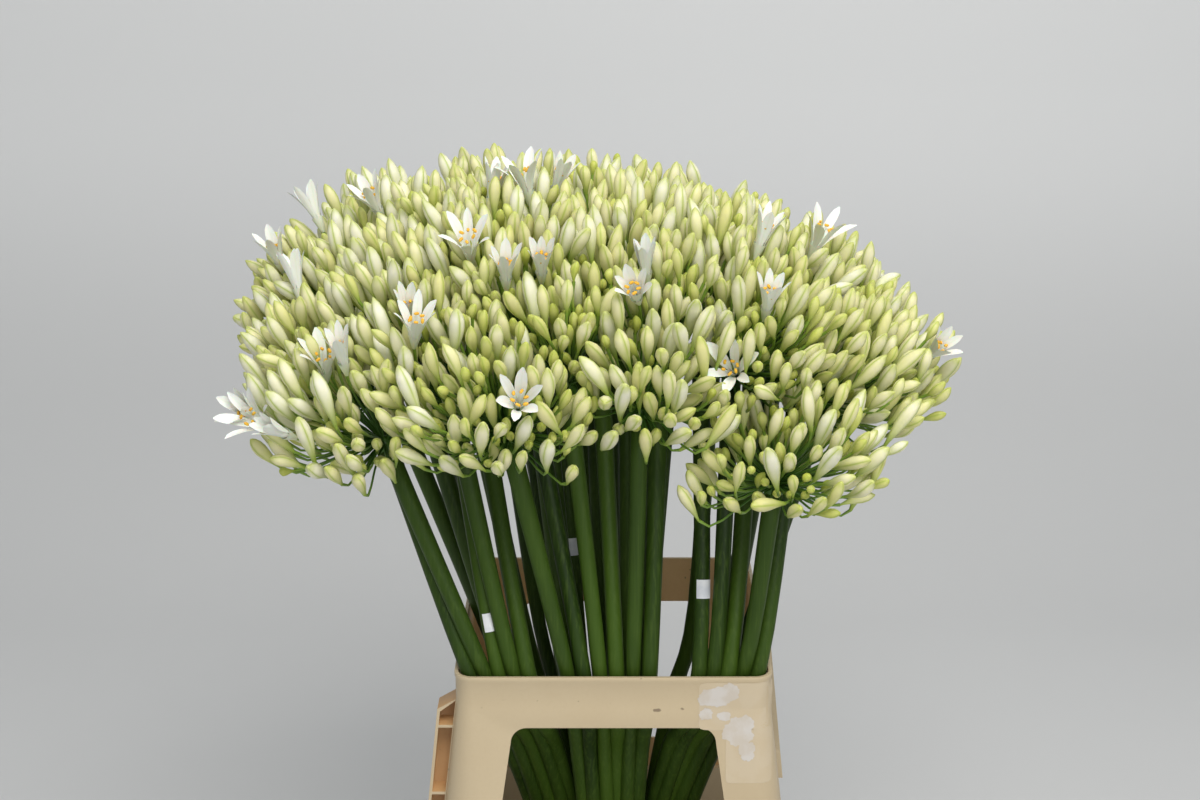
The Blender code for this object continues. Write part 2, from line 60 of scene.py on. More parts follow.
# Bucket and collar, the CAD's own sizes
BUCKET_TOP = 0.335
BUCKET_FOOT_HALF = 0.150
BUCKET_MOUTH_HALF = 0.182
BUCKET_FLOOR = 0.004
BUCKET_CORNER = 0.032
WALL = 0.003
LIP_HALF = 0.1955
LIP_HEIGHT = 0.008
LIP_DROP = 0.011
LIP_SLOPE = 0.003
FOOT_CHAMFER = 0.004
COLLAR_TOP = 0.620
COLLAR_HALF = 0.160
COLLAR_STRAIGHT = 0.035
COLLAR_FLARE = 0.122
COLLAR_CORNER = 0.018
COLLAR_FOOT_CORNER = 0.041
COLLAR_WALL = 0.003
RIM_BEAD = 0.0009
RIM_BEAD_HEIGHT = 0.006
WINDOW_TOP = 0.565
WINDOW_SILL = 0.375
WINDOW_HALF_TOP = 0.104
WINDOW_CORNER = 0.016
WINDOW_CUT_HALF = 0.25
SEAT_GAP = 0.0003
EAR_REACH_TOP = 0.0185
EAR_REACH_FOOT = 0.0160
EAR_DEPTH = 0.026
EAR_START = 0.113
EAR_SLANT = 0.5
EAR_DROP_WALL = 0.033
EAR_DROP_EDGE = 0.045
EAR_FOOT = 0.350
EAR_RIB_PITCH = 0.074
EAR_FIRST_RIB = 0.064
EAR_PLATE = 0.003
EAR_BITE = 0.0015
POCKET_CLEAR = 0.0008
POCKET_OVERCUT = 0.010
CORNER_STEPS = 12
EDGE_SOFTNESS = 0.0006

# The layout of the flowers, the CAD's own rule
HEADS = 40
BUNCH_SIZE = 10
SEED = 7
GOLDEN_ANGLE = math.pi * (3 - math.sqrt(5))
DOME_CENTRE = (-0.028, 0.010)
DOME_REACH = (0.258, 0.196)
DOME_TURN = 0.6
DOME_SCATTER = 0.03
DOME_SCATTER_Z = 0.008
CROWN_BASE_Z = 0.976
EDGE_DROP = (0.128, 0.092)
BACK_RISE = 0.032
NUDGES = {
    36: ((0.044, -0.004, -0.043), 0.88),
    27: ((-0.022, 0.012, 0.018), 1.0),
    35: ((-0.004, 0.016, 0.020), 1.0),
    38: ((-0.006, 0.000, 0.000), 1.04),
}
CELL_LIFT = 0.070
CELL_LEAN = (0.50, 0.40)
UMBEL_REACH = 0.146
UMBEL_REACH_EDGE = 0.158
STEM_RADIUS = 0.0072
STEM_RADIUS_TOP = 0.0088
STEM_SPACING = 0.0120
STEM_FOOT_Z = BUCKET_FLOOR + SEAT_GAP
TIE_Z = 0.170
RIM_Z = 0.622
RIM_SPACING = 0.0152
RIM_STRETCH = 1.25
RIM_ROUNDS = 150
BEND_POWER = 1.7
BEND_HEIGHTS = (0.300, 0.400, 0.510)
STEM_TOP_DROP = 0.0045
BUNCHES = {
    "left": {"foot": (-0.037, 0.000), "rim": (-0.1475, -0.087, -0.1435, 0.050), "row": 5},
    "right": {"foot": (0.037, 0.000), "rim": (0.087, 0.1475, -0.1435, 0.050), "row": 5},
    "front": {"foot": (0.000, -0.047), "rim": (-0.048, 0.037, -0.1435, -0.078), "row": 6},
    "back": {"foot": (0.000, 0.047), "rim": (-0.060, 0.037, -0.058, 0.080), "row": 0},
}

# Buds: width and length by ripeness, sides and the outline from foot to tip
BUD_SIDES = 9
BUD_PROFILE = (
    (0.00, 0.22), (0.09, 0.30), (0.24, 0.52), (0.42, 0.82),
    (0.60, 1.00), (0.76, 0.92), (0.89, 0.62), (0.965, 0.28),
)
BUD_RADIUS = (0.0042, 0.0034)
BUD_LENGTH = (0.017, 0.042)
CANDIDATES = 560
BUD_POLAR = math.radians(88)
BUD_CROWDING = 0.96
BUD_LIFT = 0.50
BUD_TILT = 0.27
# An umbel's low buds are greener, shorter, fewer and further apart; so are a loose umbel's
LOW_FROM = 0.55
LOW_SPAN = 0.75
LOW_GREENER = 0.20
LOW_SHORTER = 0.24
LOW_THINNING = 0.30
LOW_APART = 0.12
LOOSE_THINNING = 0.55
LOOSE_APART = 0.34
RIPE_SPREAD = 0.24
LENGTH_SPREAD = (0.85, 1.15)
ROOM_NEEDED = 0.50
RIPE_MIDDLE = 0.72
RIPE_WANDER = 0.14
RIPE_LIMITS = (0.35, 0.95)
CELL_OVERRUN = 0.007
SCAPE_CLEAR = 0.010
SCAPE_SWELL = (1.00, 1.22)
SCAPE_SIDES = 14
KNOB_DROPS = (0.012, 0.008, 0.003, -0.002, -0.006)
KNOB_RADII = (0.0088, 0.0098, 0.0102, 0.0080, 0.002)
LAYERS = (
    {"reach": (0.81, 1.00), "ripe": 0.08, "tries": 1.0, "lowest": 0.08},
    {"reach": (0.68, 0.86), "ripe": -0.15, "tries": 1.0, "lowest": 0.08},
    {"reach": (0.52, 0.72), "ripe": -0.38, "tries": 0.7, "lowest": 0.08},
    {"reach": (0.56, 0.80), "ripe": -0.45, "tries": 0.09, "lowest": -0.14},
)
# Umbels whose buds stay shorter than the CAD's reach, so that the crown has the photo's outline
CROWN_TRIM = {
    9: 0.83, 12: 0.93, 4: 0.90, 7: 0.96, 17: 0.89, 25: 0.95, 14: 0.80, 22: 0.86, 30: 0.83, 6: 0.89,
    27: 0.97, 35: 0.95,
}
FLOWER_SIZE = (0.052, 0.060)
FLOWER_TUBE = 0.30
TEPAL_ROWS = 9
TEPAL_COLUMNS = 5
TEPAL_START = 0.0095 * 0.35
TEPAL_WIDEST = 0.62
TEPAL_WIDTHS = (0.0076, 0.0094)
TEPAL_WIDTH_SIZE = 0.048
FILAMENT_RADII = (0.0005, 0.00045, 0.0004)
ANTHER_HALF = 0.0025
ANTHER_RADII = (0.0004, 0.0015, 0.0015, 0.0004)
STAMENS_SHOW = 0.3
FLOWER_SEARCH = 18.0
FLOWER_DEPTH_COST = 700
FLOWER_TURN = 0.6
OPENED_BUD = -2
PLAIN_BUD = -1
FLOWER_INSET = 0.012
WHITE_BUD = 0.25
WHITE_BUD_GROWTH = 1.15
FLOWER_CLEAR = (0.0085, 0.006)
FLOWER_BEHIND = 0.030
FLOWER_HEIGHT = (0.92, 0.25)
PEDICEL_SIDES = 5
PEDICEL_POINTS = 6
PEDICEL_RADIUS = (0.0011, 0.0012, 0.0018)
PEDICEL_PULL = (0.38, 0.30)

# The photo's camera, and pixels of its 1200 x 800 picture
CAMERA_PLACE = (-0.0135, -1.854, 1.436)
CAMERA_PITCH = math.radians(17.2)
CAMERA_LENS = 55.59
PHOTO_WIDTH = 1200
PHOTO_HEIGHT = 800
FOCAL_PIXELS = 1853.0

# Open flowers: (pixel x, pixel y, how far open 0..1, turn of the face towards the camera 0..1)
OPEN_FLOWERS = (
    (478, 222, 0.80, 0.35), (533, 160, 0.90, 0.30), (508, 256, 0.45, 0.10), (534, 258, 0.35, 0.10),
    (630, 298, 0.55, 0.25), (735, 358, 0.80, 0.30), (530, 402, 0.80, 0.50), (242, 414, 0.90, 0.30),
    (234, 402, 0.60, 0.30), (262, 436, 0.30, 0.30), (318, 345, 0.75, 0.40), (355, 341, 0.40, 0.20),
    (824, 224, 0.85, 0.40), (764, 276, 0.50, 0.15), (950, 356, 0.50, 0.15), (409, 316, 0.65, 0.40),
    (374, 176, 0.60, 0.15), (308, 204, 0.50, 0.15), (568, 158, 0.40, 0.10), (652, 260, 0.30, 0.20),
    (272, 246, 0.50, 0.20), (398, 294, 0.40, 0.20), (490, 156, 0.45, 0.10), (286, 274, 0.45, 0.20),
    (294, 446, 0.10, 0.10), (914, 448, 0.08, 0.00), (770, 206, 0.45, 0.20), (388, 262, 0.20, 0.10),
)

# Lights: name, place, what it looks at, size, power and colour. AIR is the even light all round.
LIGHTS = (
    ("key", (0.4, -1.8, 3.1), (0.0, 0.0, 0.8), (1.8, 1.2), 58.0, (1.0, 0.985, 0.96)),
    ("top", (0.5, 0.0, 3.2), (0.0, 0.1, 0.9), (2.2, 1.4), 19.0, (1.0, 1.0, 1.0)),
    ("front_fill", (0.6, -2.7, 1.2), (0.0, 0.0, 0.6), (1.6, 1.2), 12.0, (1.0, 1.0, 1.0)),
)
AIR_COLOUR = (0.93, 0.97, 1.0)
AIR_STRENGTH = 0.42

# What is left of a torn label: name, pixel x and y of the middle, half width, half height, kind, layer
LABEL_SCRAPS = (
    ("label_glue_high", 736, 706, 0.0375, 0.0255, "glue", 0),
    ("label_glue_low", 749, 756, 0.0235, 0.0290, "glue", 0),
    ("label_scrap_1", 716, 697, 0.0165, 0.0110, "paper", 1),
    ("label_scrap_2", 731, 692, 0.0085, 0.0090, "paper", 2),
    ("label_scrap_3", 739, 731, 0.0155, 0.0150, "paper", 1),
    ("label_scrap_4", 747, 751, 0.0085, 0.0095, "paper", 2),
    ("label_scrap_5", 706, 714, 0.0065, 0.0060, "paper", 3),
    ("label_scrap_6", 724, 716, 0.0070, 0.0045, "paper", 3),
)

# Blank stickers on scapes: (pixel x, pixel y)
STEM_STICKERS = ((483, 625), (709, 587), (571, 549))
STICKER_WRAP = 104
STICKER_TURN = 0.25
STICKER_HEIGHT = 0.019


# Where each flower stands: the CAD's rule again


def collar_half(z):
    """Outer half width of the collar at height z."""
    below = max(0.0, COLLAR_TOP - COLLAR_STRAIGHT - z)
    return COLLAR_HALF + COLLAR_FLARE * below


def bucket_half(z):
    """Outer half width of the bucket's wall at height z."""
    return BUCKET_FOOT_HALF + (BUCKET_MOUTH_HALF - BUCKET_FOOT_HALF) * z / BUCKET_TOP


def collar_front(x, z):
    """The y of the collar's front face, rounded towards its corners."""
    half = collar_half(z)
    drop = max(0.0, COLLAR_TOP - COLLAR_STRAIGHT - z) / (COLLAR_TOP - COLLAR_STRAIGHT - BUCKET_TOP)
    corner = COLLAR_CORNER + (COLLAR_FOOT_CORNER - COLLAR_CORNER) * drop
    into = min(max(0.0, abs(x) - half + corner), 0.999 * corner)
    return corner - half - math.sqrt(corner ** 2 - into ** 2)


def place_bases():
    draw = random.Random(SEED)
    bases = []
    for k in range(HEADS):
        share = math.sqrt((k + 0.5) / HEADS)
        angle = k * GOLDEN_ANGLE + DOME_TURN
        out = share * (1 + draw.uniform(-DOME_SCATTER, DOME_SCATTER))
        east = out * math.cos(angle)
        north = out * math.sin(angle)
        base = Vector((
            DOME_CENTRE[0] + DOME_REACH[0] * east,
            DOME_CENTRE[1] + DOME_REACH[1] * north,
            CROWN_BASE_Z + BACK_RISE * north + draw.uniform(-DOME_SCATTER_Z, DOME_SCATTER_Z),
        ))
        base.z -= out * (EDGE_DROP[0] * east ** 2 + EDGE_DROP[1] * north ** 2)
        if k in NUDGES:
            base += Vector(NUDGES[k][0])
        bases.append((base, share))
    return bases


def share_out(bases):
    order = sorted(range(HEADS), key=lambda k: bases[k].x)
    middle = sorted(order[BUNCH_SIZE:-BUNCH_SIZE], key=lambda k: bases[k].y)
    return {
        "left": order[:BUNCH_SIZE],
        "right": order[-BUNCH_SIZE:],
        "front": middle[:BUNCH_SIZE],
        "back": middle[BUNCH_SIZE:],
    }


def rim_places(bases, bunches):
    places = [None] * HEADS
    limits = [None] * HEADS
    for name, members in bunches.items():
        west, east, south, north = BUNCHES[name]["rim"]
        xs = [bases[k].x for k in members]
        ys = [bases[k].y for k in members]
        for k in members:
            across_x = (bases[k].x - min(xs)) / (max(xs) - min(xs)) - 0.5
            across_y = (bases[k].y - min(ys)) / (max(ys) - min(ys)) - 0.5
            places[k] = Vector((
                (west + east) / 2 + (east - west) * across_x * RIM_STRETCH,
                (south + north) / 2 + (north - south) * across_y * RIM_STRETCH,
            ))
            limits[k] = (west, east, south, north)
        nearest = sorted(members, key=lambda k: bases[k].y)[:BUNCHES[name]["row"]]
        for slot, k in enumerate(sorted(nearest, key=lambda k: bases[k].x)):
            places[k] = Vector((west + (east - west) * slot / (len(nearest) - 1), south))
    for _ in range(RIM_ROUNDS):
        for a in range(HEADS):
            for b in range(a + 1, HEADS):
                apart = places[b] - places[a]
                short = RIM_SPACING - apart.length
                if short > 0:
                    push = apart.normalized() * (short / 2)
                    places[a] -= push
                    places[b] += push
        for place, (west, east, south, north) in zip(places, limits):
            place.x = max(west, min(east, place.x))
            place.y = max(south, min(north, place.y))
    return places


def dome_way(base):
    way = Vector((
        CELL_LEAN[0] * (base.x - DOME_CENTRE[0]) / DOME_REACH[0],
        CELL_LEAN[1] * (base.y - DOME_CENTRE[1]) / DOME_REACH[1],
        1.0,
    ))
    return way.normalized()


def place_heads():
    placed = place_bases()
    bases = [base for base, share in placed]
    bunches = share_out(bases)
    rims = rim_places(bases, bunches)
    heads = []
    for k, ((base, share), rim) in enumerate(zip(placed, rims)):
        axis = (base - Vector((rim.x, rim.y, RIM_Z))).normalized()
        reach = UMBEL_REACH + (UMBEL_REACH_EDGE - UMBEL_REACH) * share ** 3
        if k in NUDGES:
            reach *= NUDGES[k][1]
        heads.append({
            "base": base, "axis": axis, "reach": reach * CROWN_TRIM.get(k + 1, 1.0), "rim": rim,
            "way": dome_way(base), "over": base + dome_way(base) * CELL_LIFT,
        })
    return heads, bunches


def cell_walls(heads, k):
    here = heads[k]
    walls = []
    for other, head in enumerate(heads):
        if other == k:
            continue
        between = (head["over"] + head["base"]) - (here["over"] + here["base"])
        middle = (head["over"] + head["base"] + here["over"] + here["base"]) / 4
        normal = between.normalized()
        walls.append((*normal, normal.dot(middle) + CELL_OVERRUN))
        foot = Vector((head["rim"].x, head["rim"].y, RIM_Z))
        along = head["base"] - foot
        share = (here["base"] - foot).dot(along) / along.length_squared
        if 0 < share < 1:
            nearest = foot + along * share
            normal = (nearest - here["base"]).normalized()
            walls.append((*normal, normal.dot(nearest) - STEM_RADIUS_TOP - SCAPE_CLEAR))
    return np.array(walls)


def packing():
    rise = STEM_SPACING * math.sqrt(3) / 2
    rows = [(-1, 0, 1), (-1.5, -0.5, 0.5, 1.5), (-1, 0, 1)]
    return [Vector((x * STEM_SPACING, (row - 1) * rise)) for row, xs in enumerate(rows) for x in xs]


def match(wanted, slots):
    chosen = list(range(len(slots)))
    reach = max(w.length for w in wanted)
    scaled = [w * (1.5 * STEM_SPACING / reach) for w in wanted]

    def cost(which, slot):
        return (scaled[which] - slots[slot]).length_squared

    better = True
    while better:
        better = False
        for a in range(len(chosen)):
            for b in range(a + 1, len(chosen)):
                now = cost(a, chosen[a]) + cost(b, chosen[b])
                swapped = cost(a, chosen[b]) + cost(b, chosen[a])
                if swapped < now - 1e-12:
                    chosen[a], chosen[b] = chosen[b], chosen[a]
                    better = True
    return [slots[c] for c in chosen]


def stem_routes(heads, bunches):
    feet = [None] * HEADS
    for name, members in bunches.items():
        mean = sum((heads[k]["rim"] for k in members), Vector((0, 0))) / len(members)
        wanted = [heads[k]["rim"] - mean for k in members]
        for k, place in zip(members, match(wanted, packing())):
            feet[k] = Vector(BUNCHES[name]["foot"]) + place
    routes = []
    for low, head in zip(feet, heads):
        high = head["rim"]
        route = [(low.x, low.y, STEM_FOOT_Z), (low.x, low.y, TIE_Z)]
        for z in BEND_HEIGHTS:
            spot = low.lerp(high, ((z - TIE_Z) / (RIM_Z - TIE_Z)) ** BEND_POWER)
            route.append((spot.x, spot.y, z))
        route.append((high.x, high.y, RIM_Z))
        route.append(tuple(head["base"] - head["axis"] * STEM_TOP_DROP))
        routes.append([Vector(point) for point in route])
    return routes


# Meshes


def new_mesh(name, points, faces, finish, smooth=True, values=None):
    """An object from points and faces, with optional per-point float attributes."""
    mesh = bpy.data.meshes.new(name)
    points = np.asarray(points, dtype=float)
    mesh.from_pydata(points.tolist(), [], [tuple(face) for face in faces])
    for label, data in (values or {}).items():
        layer = mesh.attributes.new(label, "FLOAT", "POINT")
        layer.data.foreach_set("value", np.asarray(data, np.float32))
    if smooth:
        mesh.polygons.foreach_set("use_smooth", [True] * len(mesh.polygons))
    mesh.materials.append(finish)
    obj = bpy.data.objects.new(name, mesh)
    bpy.context.scene.collection.objects.link(obj)
    return obj


def unit(rows):
    return rows / np.linalg.norm(rows, axis=-1, keepdims=True)


def square_frame(ways):
    """Two unit vectors square to each way, right-handed with it."""
    helper = np.tile(np.array([0.31, 0.95, 0.05]), (len(ways), 1))
    clash = np.abs((unit(helper) * ways).sum(1)) > 0.9
    helper[clash] = (1.0, 0.1, 0.0)
    first = unit(np.cross(helper, ways))
    return first, np.cross(ways, first)


def ring_faces(count, rings, sides, tip):
    """Quads between rings of many like tubes, with an optional fan to a tip point each."""
    per = rings * sides + (1 if tip else 0)
    faces = []
    for low in range(rings - 1):
        here, above = low * sides, (low + 1) * sides
        for k in range(sides):
            after = (k + 1) % sides
            faces.append((here + k, here + after, above + after, above + k))
    quads = np.array(faces)
    out = (quads[None] + (np.arange(count) * per)[:, None, None]).reshape(-1, 4).tolist()
    if tip:
        last = (rings - 1) * sides
        fans = np.array([(last + k, last + (k + 1) % sides, last + sides) for k in range(sides)])
        out += (fans[None] + (np.arange(count) * per)[:, None, None]).reshape(-1, 3).tolist()
    return out


def grid_faces(rows, columns):
    """Quads of a sheet whose points are laid out row by row."""
    return [
        (a, a + 1, a + columns + 1, a + columns)
        for row in range(rows - 1)
        for a in range(row * columns, (row + 1) * columns - 1)
    ]


def shifted(faces, start):
    return [tuple(start + i for i in face) for face in faces]


def bud_mesh(buds):
    """Points, faces and attributes of many buds: foot, way, length, radius, bow, ripe, tone."""
    count = len(buds["foot"])
    along = np.array([p[0] for p in BUD_PROFILE])
    width = np.array([p[1] for p in BUD_PROFILE])
    rings = len(along)
    first, second = square_frame(buds["way"])
    turn = buds["turn"][:, None] + np.arange(BUD_SIDES)[None] * 2 * math.pi / BUD_SIDES
    rib = (np.arange(BUD_SIDES) % 3 == 0).astype(float)
    lobe = 1 + 0.05 * (rib - 0.33)
    spokes = (
        np.cos(turn)[..., None] * first[:, None] + np.sin(turn)[..., None] * second[:, None]
    ) * lobe[None, :, None]
    blunt = width[None] ** buds["power"][:, None]
    bow = buds["bow"][:, None, :] * (4 * along * (1 - along))[None, :, None]
    reach = (buds["length"][:, None] * along[None])[..., None]
    spine = buds["foot"][:, None] + buds["way"][:, None] * reach + bow
    body = spine[:, :, None] + spokes[:, None] * (buds["radius"][:, None] * blunt)[:, :, None, None]
    tips = buds["foot"] + buds["way"] * buds["length"][:, None]
    points = np.concatenate([body.reshape(count, rings * BUD_SIDES, 3), tips[:, None]], 1).reshape(-1, 3)
    per = rings * BUD_SIDES + 1
    values = {
        "along": np.tile(np.append(np.repeat(along, BUD_SIDES), 1.0), count),
        "rib": np.tile(np.append(np.tile(rib, rings), 0.5), count),
        "ripe": np.repeat(buds["ripe"], per),
        "tone": np.repeat(buds["tone"], per),
    }
    return points, ring_faces(count, rings, BUD_SIDES, True), values


def tube_mesh(spines, radii, sides):
    """Points and faces of many tubes along spines (count, points, 3)."""
    count, steps, _ = spines.shape
    ways = unit(np.gradient(spines, axis=1).reshape(-1, 3))
    overall = unit(spines[:, -1] - spines[:, 0])
    first, _ = square_frame(overall)
    first = np.repeat(first, steps, 0)
    first = unit(first - ways * (first * ways).sum(1, keepdims=True))
    second = np.cross(ways, first)
    turn = np.arange(sides) * 2 * math.pi / sides
    spokes = (
        np.cos(turn)[None, :, None] * first[:, None] + np.sin(turn)[None, :, None] * second[:, None]
    )
    spokes = spokes.reshape(count, steps, sides, 3) * np.asarray(radii)[..., None, None]
    points = (spines[:, :, None] + spokes).reshape(-1, 3)
    return points, ring_faces(count, steps, sides, False)


def pedicel_spines(starts, ends, start_ways, end_ways):
    """Bezier curves from the scape's top to each bud's foot."""
    length = np.linalg.norm(ends - starts, axis=1)[:, None]
    a = starts + start_ways * length * PEDICEL_PULL[0]
    b = ends - end_ways * length * PEDICEL_PULL[1]
    t = np.linspace(0, 1, PEDICEL_POINTS)[None, :, None]
    return (
        (1 - t) ** 3 * starts[:, None] + 3 * (1 - t) ** 2 * t * a[:, None]
        + 3 * (1 - t) * t ** 2 * b[:, None] + t ** 3 * ends[:, None]
    )


# Camera geometry


def to_pixels(points):
    """Pixel x and y and depth of points seen by the photo's camera."""
    points = np.asarray(points, float)
    local = points - np.array(CAMERA_PLACE)
    sine, cosine = math.sin(CAMERA_PITCH), math.cos(CAMERA_PITCH)
    depth = cosine * local[:, 1] - sine * local[:, 2]
    high = cosine * local[:, 2] + sine * local[:, 1]
    x = PHOTO_WIDTH / 2 + FOCAL_PIXELS * local[:, 0] / depth
    y = PHOTO_HEIGHT / 2 - FOCAL_PIXELS * high / depth
    return x, y, depth


def pixel_ray(x, y):
    """The direction from the camera through a pixel of the photo."""
    sine, cosine = math.sin(CAMERA_PITCH), math.cos(CAMERA_PITCH)
    right = (x - PHOTO_WIDTH / 2) / FOCAL_PIXELS
    high = (PHOTO_HEIGHT / 2 - y) / FOCAL_PIXELS
    return Vector((right, cosine + high * sine, -sine + high * cosine))


def on_collar_front(x, y):
    """The point of the collar's front face seen at a pixel."""
    ray = pixel_ray(x, y)
    eye = Vector(CAMERA_PLACE)
    z = COLLAR_TOP - COLLAR_STRAIGHT
    for _ in range(20):
        step = (-collar_half(z) - eye.y) / ray.y
        z = eye.z + ray.z * step
    return eye + ray * step


# Buds on each umbel


def cap_ways(head, draw):
    """Directions spread evenly over the cap round a head's axis, in a drawn order."""
    steps = (np.arange(CANDIDATES) + 0.5) / CANDIDATES
    cosine = 1 - steps * (1 - math.cos(BUD_POLAR))
    sine = np.sqrt(1 - cosine ** 2)
    turn = np.arange(CANDIDATES) * GOLDEN_ANGLE + draw.uniform(0, 6.28)
    axis = np.array(head["axis"] + head["way"] * 0.35)
    axis = unit(axis[None])
    first, second = square_frame(axis)
    ways = (
        first * (sine * np.cos(turn))[:, None] + second * (sine * np.sin(turn))[:, None]
        + axis * cosine[:, None]
    )
    return ways[draw.permutation(CANDIDATES)]


def limit_reach(base, ways, walls, reach):
    """How far along each way the cell lets a bud go."""
    closing = ways @ walls[:, :3].T
    room = walls[:, 3] - walls[:, :3] @ base
    with np.errstate(divide="ignore", invalid="ignore"):
        free = np.where(closing > 1e-6, room[None] / closing, 9.0)
    return np.minimum(free.min(1), reach)


SAMPLE_ALONG = np.array([0.12, 0.38, 0.64, 0.90])
SAMPLE_WIDTH = np.array([0.45, 0.85, 1.00, 0.72])


class Crowd:
    """Spheres along every bud kept so far, in a coarse grid."""

    def __init__(self, cell):
        self.cell = cell
        self.grid = {}

    def key(self, point):
        return tuple(int(math.floor(c / self.cell)) for c in point)

    def clear(self, samples, girths, closeness):
        for (x, y, z), girth in zip(samples, girths):
            i, j, k = self.key((x, y, z))
            for a in (i - 1, i, i + 1):
                for b in (j - 1, j, j + 1):
                    for c in (k - 1, k, k + 1):
                        for ox, oy, oz, other in self.grid.get((a, b, c), ()):
                            gap = (x - ox) ** 2 + (y - oy) ** 2 + (z - oz) ** 2
                            if gap < (closeness * (girth + other)) ** 2:
                                return False
        return True

    def add(self, samples, girths):
        for (x, y, z), girth in zip(samples, girths):
            self.grid.setdefault(self.key((x, y, z)), []).append((x, y, z, girth))


def grow_layer(head, walls, layer, crowd, draw):
    """Adds one layer of buds to a head, keeping each clear of those already there."""
    base = np.array(head["base"])
    way_out = np.array(head["way"])
    tried = int(CANDIDATES * layer["tries"] * (1 - LOOSE_THINNING * head["loose"]))
    ways = cap_ways(head, draw)[:tried]
    low = np.clip((LOW_FROM - ways[:, 2]) / LOW_SPAN, 0, 1)
    low = low * low * (3 - 2 * low)
    ripe = head["ripe"] + layer["ripe"] - LOW_GREENER * low
    ripe = ripe + draw.normal(0, RIPE_SPREAD, len(ways))
    ripe = np.clip(ripe, 0, 1)
    radius = BUD_RADIUS[0] + BUD_RADIUS[1] * ripe
    length = (BUD_LENGTH[0] + BUD_LENGTH[1] * ripe) * draw.uniform(*LENGTH_SPREAD, len(ways))
    free = limit_reach(base, ways, walls, head["reach"])
    share = draw.uniform(*layer["reach"], len(ways))
    share = share * (1 - LOW_SHORTER * low * draw.uniform(0.3, 1.3, len(ways)))
    reach = np.minimum(free, head["reach"] * share)
    lean = 0.15 + 0.7 * (1 - free / head["reach"])
    lift = np.array([0, 0, BUD_LIFT]) * (1 - 0.5 * low)[:, None]
    turned = unit(ways + way_out * lean[:, None] + lift + draw.normal(0, BUD_TILT, ways.shape))
    feet = base + ways * reach[:, None] - turned * length[:, None]
    good = free > ROOM_NEEDED * head["reach"]
    good &= draw.uniform(0, 1, len(ways)) > LOW_THINNING * low
    good &= ways[:, 2] > layer["lowest"] - 0.16 * draw.uniform(0, 1, len(ways)) ** 3
    for k in np.nonzero(good)[0]:
        samples = (feet[k] + turned[k] * (length[k] * SAMPLE_ALONG)[:, None]).tolist()
        girths = (radius[k] * SAMPLE_WIDTH).tolist()
        closeness = BUD_CROWDING * (1 + LOW_APART * low[k] + LOOSE_APART * head["loose"])
        if not crowd.clear(samples, girths, closeness):
            continue
        crowd.add(samples, girths)
        new = {"foot": feet, "way": turned, "length": length, "radius": radius, "ripe": ripe}
        for label, values in new.items():
            head["buds"][label].append(values[k])


def grow_buds(heads, draw):
    """Fills every head layer by layer, so that neighbouring umbels interlock."""
    crowd = Crowd(2 * (BUD_RADIUS[0] + BUD_RADIUS[1]))
    walls = [cell_walls(heads, k) for k in range(len(heads))]
    for head in heads:
        head["buds"] = {label: [] for label in ("foot", "way", "length", "radius", "ripe")}
    for layer in LAYERS:
        for k in draw.permutation(len(heads)):
            grow_layer(heads[k], walls[k], layer, crowd, draw)
    for head in heads:
        buds = {label: np.array(value) for label, value in head["buds"].items()}
        count = len(buds["foot"])
        buds["turn"] = draw.uniform(0, 6.28, count)
        buds["tone"] = draw.uniform(0, 1, count)
        buds["power"] = draw.uniform(0.8, 1.2, count)
        buds["bow"] = draw.normal(0, 0.0009, (count, 3))
        buds["open"] = np.full(count, PLAIN_BUD)
        head["buds"] = buds


def age_head(head, draw):
    """Whiter and larger buds towards the crown and the back, greener and looser at the front."""
    base = head["base"]
    north = (base.y - DOME_CENTRE[1]) / DOME_REACH[1]
    east = (base.x - DOME_CENTRE[0]) / DOME_REACH[0]
    ripe = RIPE_MIDDLE + 0.02 * north - 0.06 * east - 0.12 * max(0.0, -north - 0.4)
    head["ripe"] = float(np.clip(ripe + draw.uniform(-RIPE_WANDER, RIPE_WANDER), *RIPE_LIMITS))
    head["loose"] = float(np.clip(-0.3 - north + 0.5 * east + 1.1 * max(0.0, -east - 0.4), 0.0, 1.0))


# Open flowers


def tepal(length, width, openness):
    """One tepal in its own frame: x across, y outward from the flower's axis, z along the axis.
    It leaves the tube nearly upright, then leans out more and more."""
    points = []
    for row in range(TEPAL_ROWS):
        t = row / (TEPAL_ROWS - 1)
        lean = openness * (0.22 + 0.66 * t)
        if row == 0:
            out, up = TEPAL_START, 0.0
        else:
            step = length / (TEPAL_ROWS - 1)
            out += math.sin(lean) * step
            up += math.cos(lean) * step
        if t < TEPAL_WIDEST:
            half = width / 2 * (0.26 + 0.74 * math.sin(min(1.0, t / TEPAL_WIDEST) * math.pi / 2))
        else:
            half = width / 2 * math.sqrt(max(0.0, 1 - ((t - TEPAL_WIDEST) / 0.385) ** 2))
        for column in range(TEPAL_COLUMNS):
            side = column / (TEPAL_COLUMNS - 1) * 2 - 1
            cup = (side ** 2) * half * 0.45
            points.append((side * half, out - cup * 0.4, up + cup * 0.35))
    return np.array(points)


